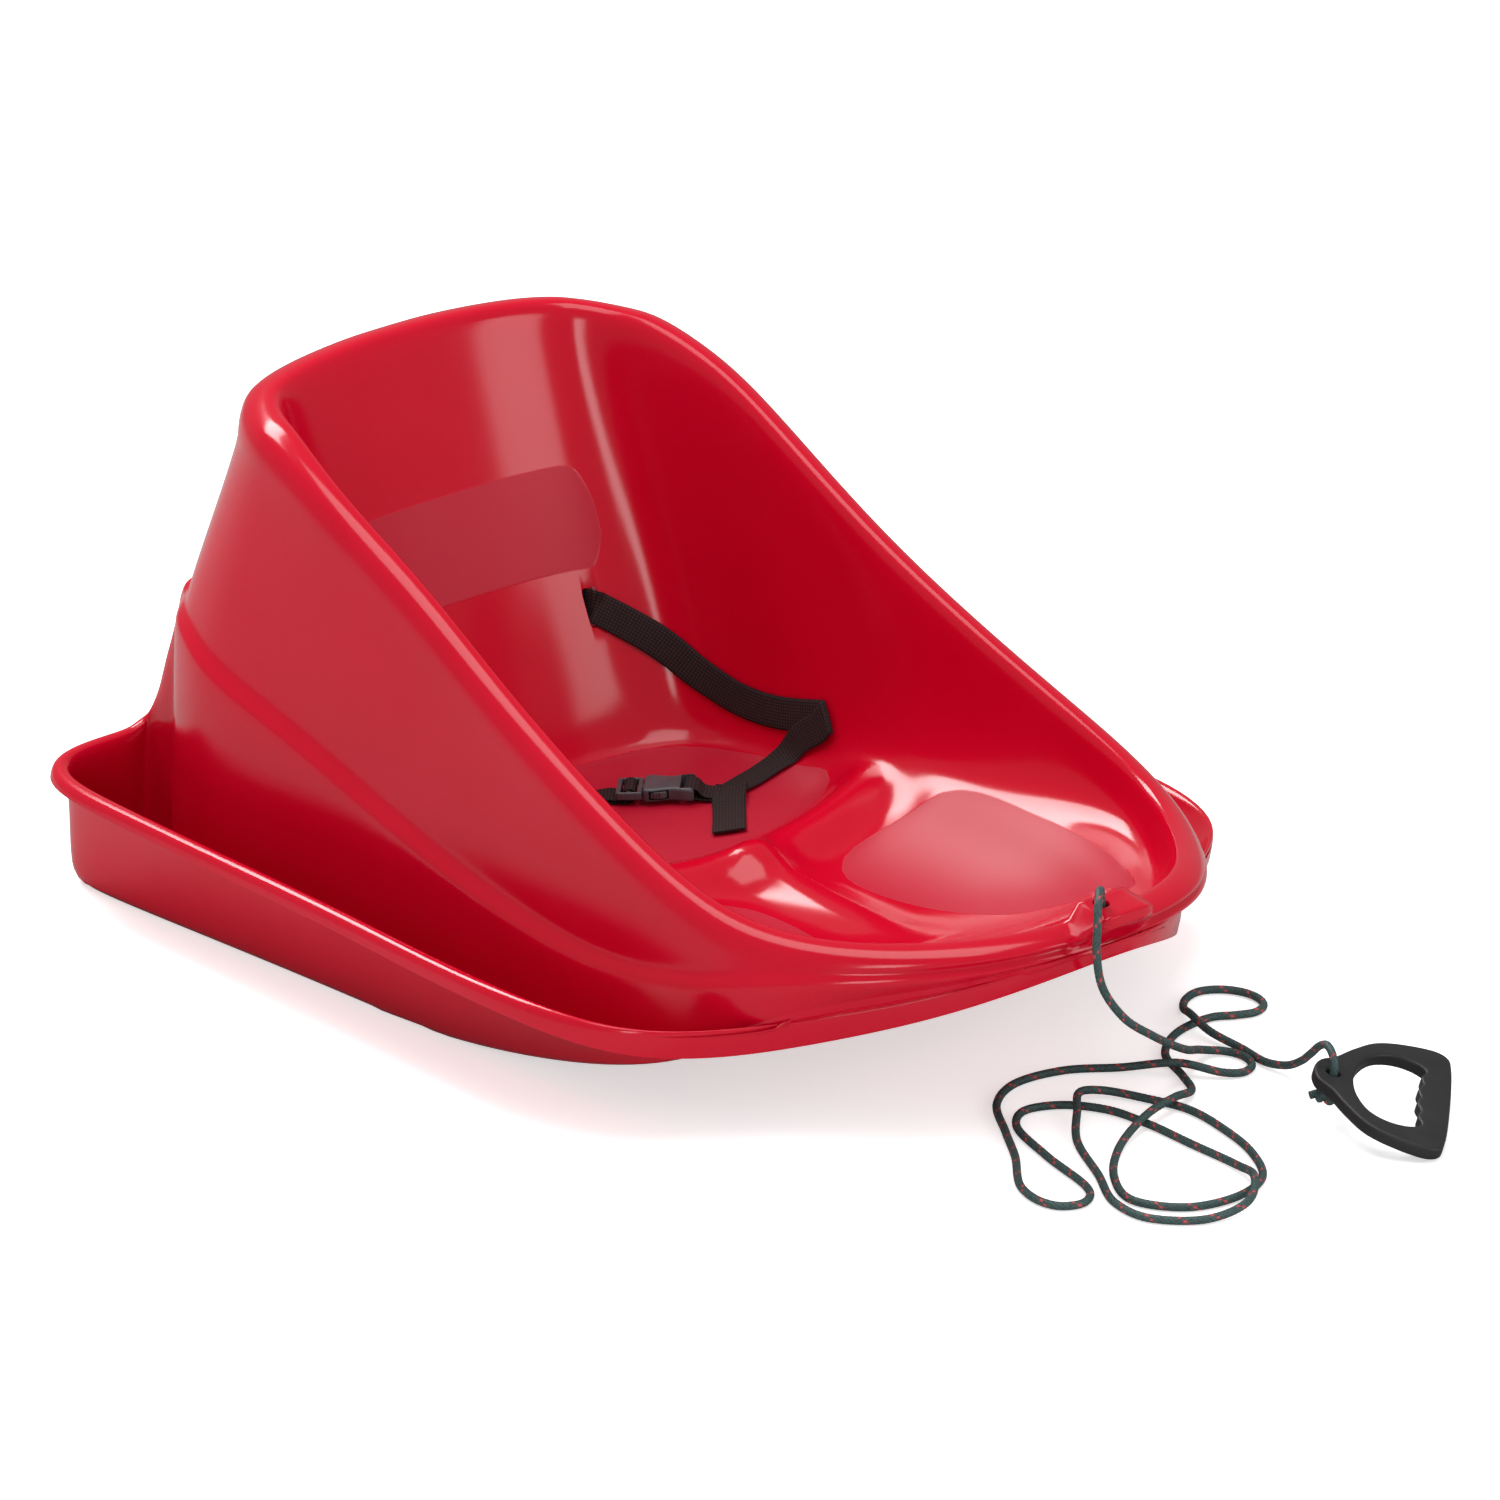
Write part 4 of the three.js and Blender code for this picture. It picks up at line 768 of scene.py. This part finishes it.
rough = node(shell_material, "MixRGB", {"Fac": blasted, "Color1": gloss, "Color2": (0.46, 0.46, 0.46, 1.0)})
skin_height = node(shell_material, "Math", {0: peel, 1: 0.25}, operation="MULTIPLY")
edge_height = node(shell_material, "Math", {0: blasted, 1: 2.5, 2: skin_height}, operation="MULTIPLY_ADD")
grain_height = node(shell_material, "Math", {0: grain, 1: blasted}, operation="MULTIPLY")
height = node(shell_material, "Math", {0: grain_height, 1: 0.8, 2: edge_height}, operation="MULTIPLY_ADD")
bump = node(shell_material, "Bump", {"Height": height, "Distance": 0.0001, "Strength": 0.5})
shell_surface = node(shell_material, "BsdfPrincipled", {
    "Base Color": worn, "Roughness": rough, "IOR": 1.45, "Normal": bump})
node(shell_material, "OutputMaterial", {"Surface": shell_surface})
shell.data.materials.clear()
shell.data.materials.append(shell_material)
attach(shell, "sled")
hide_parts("shell")

# Lap belt: one strap of 20 mm polypropylene webbing, 1.4 mm thick. It is threaded through the plug, runs
# up the seat to one slot, behind the back to the other, along the side to a fold, and back round the
# socket's bar to a loose tail. The buckle lies on the seat and sets the strap's ends.
BELT_WIDTH = 20.0
BELT_THICK = 1.4
RIB_PITCH = 2.1
RIB_RELIEF = 0.14
WARP_PITCH = 1.9
STRAP_STEP = 0.8
STRAP_PARTS = 40
STRAP_COLUMNS = 23
BELT_CLEAR = 0.35
HALF_LAYER = BELT_CLEAR + BELT_THICK / 2
LAYER = BELT_CLEAR + BELT_THICK
LAID = 1.8 * HALF_LAYER
BUCKLE_PLACE = np.array([44.98, 100.1])
BUCKLE_RIDE = 7.0
BUCKLE_HEADING = np.array([0.694, -0.72])


def floor_lean(dx, dy):
    """Slope of the seat across the buckle's place, over one belt width each way."""
    x, y = BUCKLE_PLACE
    return float(floor_height(x + dx * BELT_WIDTH, y + dy * BELT_WIDTH)
                 - floor_height(x - dx * BELT_WIDTH, y - dy * BELT_WIDTH)) / (2 * BELT_WIDTH)


buckle_along = unit(np.array([*BUCKLE_HEADING, floor_lean(*BUCKLE_HEADING)]))
buckle_across = unit(np.array([-BUCKLE_HEADING[1], BUCKLE_HEADING[0],
                               floor_lean(-BUCKLE_HEADING[1], BUCKLE_HEADING[0])]))
buckle_up = np.cross(buckle_along, buckle_across)
buckle_middle = np.array([*BUCKLE_PLACE, float(floor_height(*BUCKLE_PLACE)) + BUCKLE_RIDE])


def in_buckle(u, v, w):
    """A place in mm given along, across and above the middle of the buckle."""
    return buckle_middle + u * buckle_along + v * buckle_across + w * buckle_up


def on_floor(u, v, rise):
    """A place along and across the buckle, at a height above the seat's floor under it."""
    x, y, z = in_buckle(u, v, 0)
    return np.array([x, y, float(floor_height(x, y)) + rise])


def squared(rows):
    """Rows of a strap whose width stays square to it, each from a place in mm and a way across it."""
    return [(np.array(place), way, 0) for place, way in rows]


over_slot = (0, 0.375, 0.927)
through_plug = [
    (-31, -5.1), (-24, -5.3), (-16.2, -5.2), (-13.4, -3.6), (-12.8, -0.4), (-13.6, 2.9), (-16, 3.6),
    (-18.4, 2.9), (-19.2, 0), (-19.9, -2.9), (-22.4, -3.6),
]
round_bar = [
    (26, -4.4), (21.5, -3.3), (18.3, -2.9), (16.9, 0), (18.3, 2.9), (21.5, 3.2), (24.6, 2.2), (28, -1.6),
]
belt_rows = squared([(in_buckle(u, 0, w), buckle_across) for u, w in through_plug] + [
    (on_floor(-29, 0, 1.6 * HALF_LAYER + LAYER), buckle_across),
    (on_floor(-40, 0, 1.5 * HALF_LAYER), buckle_across),
    ((-10.4, 159.6, 65), (0.5, 0.85, 0.15)), ((-35.1, 168.7, 78.9), (0.36, 0.8, 0.48)),
    ((-62.4, 177.8, 106.3), (0.2, 0.6, 0.77)), ((-81.1, 184.8, 136.9), over_slot),
    ((-86.1, 195.3, 140.1), over_slot), ((-86.8, 204.8, 141.2), over_slot),
    ((-83.7, 210.4, 141.2), over_slot), ((-74.1, 212.2, 141.2), over_slot),
    ((-52, 214.3, 141.2), over_slot), ((0, 217.3, 141.2), over_slot), ((52, 214.3, 141.2), over_slot),
    ((74.1, 212.2, 141.2), over_slot), ((84.2, 210.4, 141.2), over_slot),
    ((85.4, 205.2, 142), over_slot), ((86.2, 201.4, 141.6), over_slot),
    ((89.2, 198.6, 139.4), (0.35, 0.2, 0.9)), ((93.5, 194.9, 136.3), (0.55, 0.05, 0.83)),
    ((102, 187.6, 129.8), (0.6, -0.03, 0.8)), ((111.3, 176.8, 121.7), (0.58, -0.14, 0.8)),
    ((118, 165.5, 113.6), (0.5, -0.31, 0.81)), ((122.5, 152.7, 105.5), (0.41, -0.39, 0.82)),
    ((126.2, 137.7, 99.1), (0.32, -0.39, 0.86)), ((128.5, 121.2, 94.8), (0.25, -0.35, 0.9)),
    ((129.5, 103.2, 93.8), (0.22, -0.21, 0.95)), ((130.2, 84.7, 95.2), (0.22, -0.04, 0.97)),
    ((130.9, 69.2, 98.1), (0.21, 0.11, 0.97)),
])

# The flat fold on the side wall: the strap arrives one way, turns over about the fold's line and leaves
# mirrored in it. Near a fold its cross lines turn from square to the strap to along the fold.
FOLD_PLACE = np.array([132.1, 43.9, 103.9])
WALL_FACE = np.array([-0.98, -0.01, 0.2])
arriving = unit(np.array([0.046, -0.973, 0.223]))
fold_line = unit(np.array([0.2, 0.57, 0.797]))
leaving = 2 * (fold_line @ arriving) * fold_line - arriving
fold_reach = fold_line / np.sqrt(1 - (fold_line @ arriving) ** 2)
FOLD_LEAD = 9.0
belt_rows += [
    (FOLD_PLACE - FOLD_LEAD * arriving, fold_reach - (fold_reach @ arriving) * arriving, 0),
    (FOLD_PLACE, fold_reach, 1),
    (FOLD_PLACE + LAYER / 2 * (WALL_FACE + arriving), fold_reach, 1),
    (FOLD_PLACE + LAYER * WALL_FACE, fold_reach, 1),
    (FOLD_PLACE + LAYER * WALL_FACE + FOLD_LEAD * leaving,
     fold_reach - (fold_reach @ leaving) * leaving, 0),
]
belt_rows += squared([
    ((126.2, 62, 87), (0.15, 0.92, 0.37)), ((122.5, 69.2, 76.3), (0.22, 0.95, 0.22)),
    ((115.4, 72.6, 70.9), (0.39, 0.91, 0.12)), ((104.7, 73.4, 67.3), (0.51, 0.86, 0.07)),
    ((90, 72.6, 64.9), (0.6, 0.78, 0.05)), (on_floor(36, 0, 1.7 * HALF_LAYER), buckle_across),
] + [(in_buckle(u, 0, w), buckle_across) for u, w in round_bar] + [
    (on_floor(33, 0, 1.5 * HALF_LAYER + LAYER), buckle_across),
    (on_floor(38, 0, LAID + LAYER), buckle_across),
])

# The loose tail: past the socket the strap's end is folded over and lies on the seat, square to the buckle.
TAIL_AT = 44.0
FOLD_BITE = 0.1
tail_top = LAID + LAYER + BELT_THICK - FOLD_BITE
belt_rows.append((on_floor(TAIL_AT, 0, LAID + LAYER), buckle_across - buckle_along, 1))
tail_rows = [
    (on_floor(TAIL_AT, 0, tail_top), buckle_along + buckle_across, 1),
    (on_floor(TAIL_AT, -10, tail_top), buckle_along, 0),
    (on_floor(TAIL_AT, -14.5, LAID + LAYER), buckle_along, 0),
    (on_floor(44.6, -20, LAID), buckle_along, 0),
    (on_floor(46, -38, LAID), buckle_along, 0),
    (on_floor(47.5, -62, 2.6 * HALF_LAYER), buckle_along + 0.35 * buckle_across, 1),
]


def ribbon(name, rows):
    """A woven strap and its length: a flat section, whose half thickness goes as sqrt(1 - s^8) across it,
    carried along a smooth line, with the ribs of the weave as |sin| along it. Each row gives a place, the
    way that the width takes there, and 0 where the width stays square to the strap or 1 where it takes
    that way."""
    marks = np.arange(len(rows))
    line, run = smooth_line(np.array([place for place, way, hold in rows]), STRAP_PARTS)
    even = np.linspace(0, run[-1], int(run[-1] / STRAP_STEP) + 1)
    at_row = np.interp(even, run, np.arange(len(line)) / STRAP_PARTS)
    line = between(even, run, line)
    way = between(at_row, marks, np.array([way for place, way, hold in rows], float))
    hold = np.interp(at_row, marks, [float(hold) for place, way, hold in rows])[:, None]
    ahead = unit(np.gradient(line, axis=0))
    side = unit(way - ahead * (way * ahead).sum(1, keepdims=True))
    face = np.cross(ahead, side)[:, None]
    flat = np.linspace(-1, 1, STRAP_COLUMNS)
    rib = np.abs(np.sin(np.pi * even / RIB_PITCH))[:, None]
    thick = BELT_THICK / 2 * np.sqrt(1 - flat**8)[None, :] - RIB_RELIEF * (1 - rib)
    reach = (side * (1 - hold) + way * hold)[:, None] * (BELT_WIDTH / 2 * flat)[None, :, None]
    middle = line[:, None] + reach
    top, under = middle + face * thick[..., None], middle - face * thick[..., None]
    ring = np.concatenate([top, under[:, -2:0:-1]], axis=1)
    n = ring.shape[1]
    last = (len(line) - 1) * n
    faces = cells(len(line), n, ring=True).tolist() + [list(range(n))[::-1], list(range(last, last + n))]
    piece = new_piece(name, ring.reshape(-1, 3) / 1000, faces)
    across = np.concatenate([flat, flat[-2:0:-1]]) * BELT_WIDTH / 2
    store(piece, strap_run=np.repeat(even, n), strap_across=np.tile(across, len(line)))
    merge(piece.data)
    shade(piece, 50)
    return piece, run[-1]


# Woven polypropylene: near-black brown and dull, with painted shade nearly black in the grooves
# between its ribs and warp yarns. Its cross ribs and its lengthwise warp yarns are drawn a little coarser
# than real so that they show.
webbing_material = empty_nodes(bpy.data.materials.new("woven_polypropylene"))
run_at = node(webbing_material, "Attribute", attribute_name="strap_run").outputs["Fac"]
across_at = node(webbing_material, "Attribute", attribute_name="strap_across").outputs["Fac"]
waves = []
for at, pitch in ((run_at, RIB_PITCH), (across_at, WARP_PITCH)):
    turn = node(webbing_material, "Math", {0: at, 1: math.pi / pitch}, operation="MULTIPLY")
    wave = node(webbing_material, "Math", {0: turn}, operation="SINE")
    waves.append(node(webbing_material, "Math", {0: wave}, operation="ABSOLUTE"))
weave = node(webbing_material, "Math", {0: waves[0], 1: waves[1]}, operation="MULTIPLY")
place = node(webbing_material, "TexCoord").outputs["Object"]
lint = node(webbing_material, "TexNoise", {"Vector": place, "Scale": 600.0, "Detail": 3.0})
lint_share = node(webbing_material, "MapRange", {"Value": lint, "To Max": 0.5})
# Painted shade: the webbing's tone goes nearly black where the weave is low, between ribs and warp yarns.
weave_shaded_tone = node(webbing_material, "MixRGB", {
    "Fac": weave, "Color1": linear("#040203"), "Color2": linear("#402b2b")})
tone = node(webbing_material, "MixRGB", {
    "Fac": lint_share, "Color1": weave_shaded_tone, "Color2": linear("#160d0e")})
bump = node(webbing_material, "Bump", {"Height": weave, "Distance": 0.0003, "Strength": 0.7})
webbing_skin = node(webbing_material, "BsdfPrincipled", {
    "Base Color": tone, "Roughness": 0.8, "IOR": 1.4, "Normal": bump})
node(webbing_material, "OutputMaterial", {"Surface": webbing_skin})
belt, belt_length = ribbon("lap_belt", belt_rows)
belt_tail, tail_length = ribbon("lap_belt_tail", tail_rows)
for piece in (belt, belt_tail):
    piece.data.materials.append(webbing_material)
    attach(piece, "sled")
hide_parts("belt_webbing")

# Buckle socket: a waisted case of grey acetal with full round edges, hollow from its mouth to the end of
# the windows that the arms' pads show through, with a bar at its far end for the webbing. One moulding.
CASE_HALF = 12.8
CASE_TALL = 8.6
CASE_START = -7.6
CASE_END = 23.0
CASE_ROUND = 2.1
CAVITY_HALF = 10.2
CAVITY_TALL = 2.9
LOOP_HALF = BELT_WIDTH / 2 + 1
BAR_TALL = 2.0
PAST_CASE = 10.0
case_shares = np.array([
    (-1, 0.9), (-0.9, 0.99), (-0.62, 1), (-0.3, 0.9), (0.02, 0.83), (0.34, 0.92), (0.62, 1.01),
    (0.9, 1.02), (1, 0.93),
])
case_half = np.array([(CASE_END - CASE_START) / 2, CASE_HALF])


def buckle_moulding(name, outlines, thick, rounding):
    """A flat moulding that lies in the buckle, from outlines in mm along and across it."""
    return flat_moulding(name, [outline / 1000 for outline in outlines], thick / 1000, rounding / 1000,
                         (buckle_along, buckle_across, buckle_up), buckle_middle / 1000)


def case_outline(rows):
    """A closed outline in mm through rows given along one side, mirrored to the other, as shares of the
    case's half length and half width about its middle."""
    side = curve_through(rows * case_half, 0.4)[0] + [(CASE_START + CASE_END) / 2, 0]
    return np.concatenate([side * [1, -1], side[::-1]])


def rounded_box(u0, u1, v0, v1, corner):
    """Outline of a rectangle in mm with rounded corners, along and across the buckle."""
    turn = np.linspace(0, np.pi / 2, 7)
    arc = corner * np.column_stack([np.cos(turn), np.sin(turn)])
    middle = np.array([(u0 + u1) / 2, (v0 + v1) / 2])
    inner = np.array([(u1 - u0) / 2 - corner, (v1 - v0) / 2 - corner])
    corners = []
    for signs in ((1, 1), (-1, 1), (-1, -1), (1, -1)):
        corners.append(arc + inner * signs)
        arc = np.column_stack([-arc[:, 1], arc[:, 0]])
    return np.concatenate(corners) + middle


def cut_away(piece, outlines):
    """Cuts prisms out of a piece of the buckle: each an outline along and across it, from one height to
    another."""
    for outline, low, high in outlines:
        tool = new_piece("cutting_tool", *punch(outline, in_buckle(0, 0, (low + high) / 2), buckle_along,
                                                buckle_across, high - low), smooth=False)
        merge(tool.data)
        combine(piece, tool, "DIFFERENCE")


# In turn: the hollow behind the mouth, the side windows, the way through for the webbing, and the room
# above and below the bar.
socket = buckle_moulding("buckle_case", [case_outline(case_shares)], CASE_TALL, CASE_ROUND)
cut_away(socket, [
    (rounded_box(CASE_START - 4, 10, -CAVITY_HALF, CAVITY_HALF, 1.5), -CAVITY_TALL, CAVITY_TALL),
    (rounded_box(-4, 8, -40, 40, 2.8), -CAVITY_TALL, CAVITY_TALL),
    (rounded_box(14.6, 19.2, -LOOP_HALF, LOOP_HALF, 0.8), -PAST_CASE, PAST_CASE),
    (rounded_box(17, 40, -LOOP_HALF, LOOP_HALF, 0.8), BAR_TALL, PAST_CASE),
    (rounded_box(17, 40, -LOOP_HALF, LOOP_HALF, 0.8), -PAST_CASE, -BAR_TALL),
])
soften(socket, 0.35, 40)
shade(socket, 35)

# Satin acetal: a dark grey with a soft sheen, its surface barely mottled by the mould's spark texture.
acetal = empty_nodes(bpy.data.materials.new("satin_acetal"))
place = node(acetal, "TexCoord").outputs["Object"]
grit = node(acetal, "TexNoise", {"Vector": place, "Scale": 1400.0, "Detail": 3.0})
cloud = node(acetal, "TexNoise", {"Vector": place, "Scale": 90.0, "Detail": 2.0})
tone = node(acetal, "MixRGB", {"Fac": cloud, "Color1": linear("#3d3e42"), "Color2": linear("#4c4d52")})
shine = node(acetal, "MapRange", {"Value": cloud, "To Min": 0.32, "To Max": 0.42})
bump = node(acetal, "Bump", {"Height": grit, "Distance": 0.00006, "Strength": 0.5})
acetal_skin = node(acetal, "BsdfPrincipled", {
    "Base Color": tone, "Roughness": shine, "IOR": 1.48, "Normal": bump})
node(acetal, "OutputMaterial", {"Surface": acetal_skin})
socket.data.materials.append(acetal)
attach(socket, "sled")
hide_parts("buckle_socket")

# Buckle plug: a frame of the same acetal with two slots that the webbing is threaded through, and a middle
# tongue that keeps it straight in the case. Its front edge stands at the mouth.
PLUG_TALL = 5.0
INNER_TALL = 4.4
plug = buckle_moulding("buckle_frame", [
    rounded_box(-24, -8, -CASE_HALF, CASE_HALF, 2.2),
    rounded_box(-20.9, -17.5, -LOOP_HALF, LOOP_HALF, 1.0),
    rounded_box(-14.5, -11.1, -LOOP_HALF, LOOP_HALF, 1.0),
], PLUG_TALL, 0.9)
tongue = buckle_moulding("buckle_tongue", [rounded_box(-9, 6, -2.6, 2.6, 1.2)], INNER_TALL, 0.6)
combine(plug, tongue, "UNION")
shade(plug, 35)
plug.data.materials.append(acetal)
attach(plug, "sled")
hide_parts("buckle_plug")

# Release arms: two sprung arms beside the tongue. Each ends in a thumb pad, ribbed on its outer face, that
# fills the case's side window; pressed in, they let the plug go.
pad_shares = np.array([
    (-0.475, 0.532), (-0.2, 0.545), (0.131, 0.57), (0.33, 0.59), (0.431, 0.63), (0.455, 0.76),
    (0.327, 0.924), (0.2, 0.968), (0.065, 0.985), (-0.09, 0.98), (-0.196, 0.93), (-0.225, 0.8),
    (-0.3, 0.738), (-0.475, 0.734),
])
GROOVES = (-1.2, 0.6, 2.4, 4.2)
GROOVE_HALF = 0.28
GROOVE_REACH = 1.0
for side, name in ((-1, "release_arm_left"), (1, "release_arm_right")):
    outline = curve_through(pad_shares * case_half, 0.3, closed=True)[0] * [1, side]
    arm = buckle_moulding("thumb_" + name, [outline], INNER_TALL, 0.7)
    grooves = []
    for along in GROOVES:
        edge = side * (1.035 * CASE_HALF - 0.34 * abs(along) ** 1.3)
        grooves.append((rounded_box(along - GROOVE_HALF, along + GROOVE_HALF, edge - GROOVE_REACH,
                                    edge + GROOVE_REACH, 0.2), -3, 3))
    cut_away(arm, grooves)
    shade(arm, 35)
    arm.data.materials.append(acetal)
    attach(arm, name)
    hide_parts(name)

# Ground: a pale sheet under the sled that shows white to the camera and still takes the sled's shadow. It
# is greyer where the glossy skin mirrors it, so that the red stays deep.
GROUND_HALF = 3.0
ground = new_piece("ground", [(GROUND_HALF * i, GROUND_HALF * j, 0) for i, j in (
    (-1, -1), (1, -1), (1, 1), (-1, 1))], [(0, 1, 2, 3)], smooth=False)
ground_material = empty_nodes(bpy.data.materials.new("pale_sweep"))
seen = node(ground_material, "LightPath").outputs
whitening = node(ground_material, "Math", {0: seen["Is Camera Ray"], 1: 0.55}, operation="MULTIPLY")
glow = node(ground_material, "Emission", {"Color": linear("#ffffff"), "Strength": whitening})
paper_tone = node(ground_material, "MixRGB", {
    "Fac": seen["Is Glossy Ray"], "Color1": linear("#f2f2f2"), "Color2": linear("#a0a0a0")})
paper = node(ground_material, "BsdfDiffuse", {"Color": paper_tone})
sweep = node(ground_material, "AddShader", {0: paper, 1: glow})
node(ground_material, "OutputMaterial", {"Surface": sweep})
ground.data.materials.append(ground_material)

# Studio light: a box high behind the back, which draws the thin bright line along the rim, one in front to
# the right, which lies as a pale field in the back, a narrow one beside the camera and a fill overhead,
# in a dim room, so that the glossy skin stays deep between them.
lamps = [
    ("back_box", (0.1, 1.7, 1.95), (0.0, 0.0, 0.15), 1.3, 0.8, 40.0),
    ("front_box", (0.9, -2.4, 0.95), (0.0, 0.0, 0.2), 1.2, 1.3, 15.0),
    ("camera_box", (-2.3, -1.7, 0.85), (0.0, 0.0, 0.2), 0.5, 1.2, 10.0),
    ("overhead_fill", (-0.3, -0.2, 3.0), (0.0, 0.0, 0.0), 2.0, 2.0, 42.0),
]
for name, spot, target, wide, tall, power in lamps:
    lamp = bpy.data.lights.new(name, "AREA")
    lamp.shape = "RECTANGLE"
    lamp.size, lamp.size_y, lamp.energy = wide, tall, power
    holder = bpy.data.objects.new(name, lamp)
    bpy.context.collection.objects.link(holder)
    holder.location = spot
    holder.rotation_euler = (Vector(spot) - Vector(target)).to_track_quat("Z", "Y").to_euler()
room = empty_nodes(bpy.data.worlds.new("dim_room"))
seen = node(room, "LightPath").outputs
mirrored = node(room, "MapRange", {"Value": seen["Is Glossy Ray"], "To Min": 0.58, "To Max": 0.28})
brightness = node(room, "Math", {0: seen["Is Camera Ray"], 1: mirrored}, operation="MAXIMUM")
room_light = node(room, "Background", {"Color": linear("#ffffff"), "Strength": brightness})
node(room, "OutputWorld", {"Surface": room_light})
bpy.context.scene.world = room
bpy.context.scene.view_settings.view_transform = "Standard"
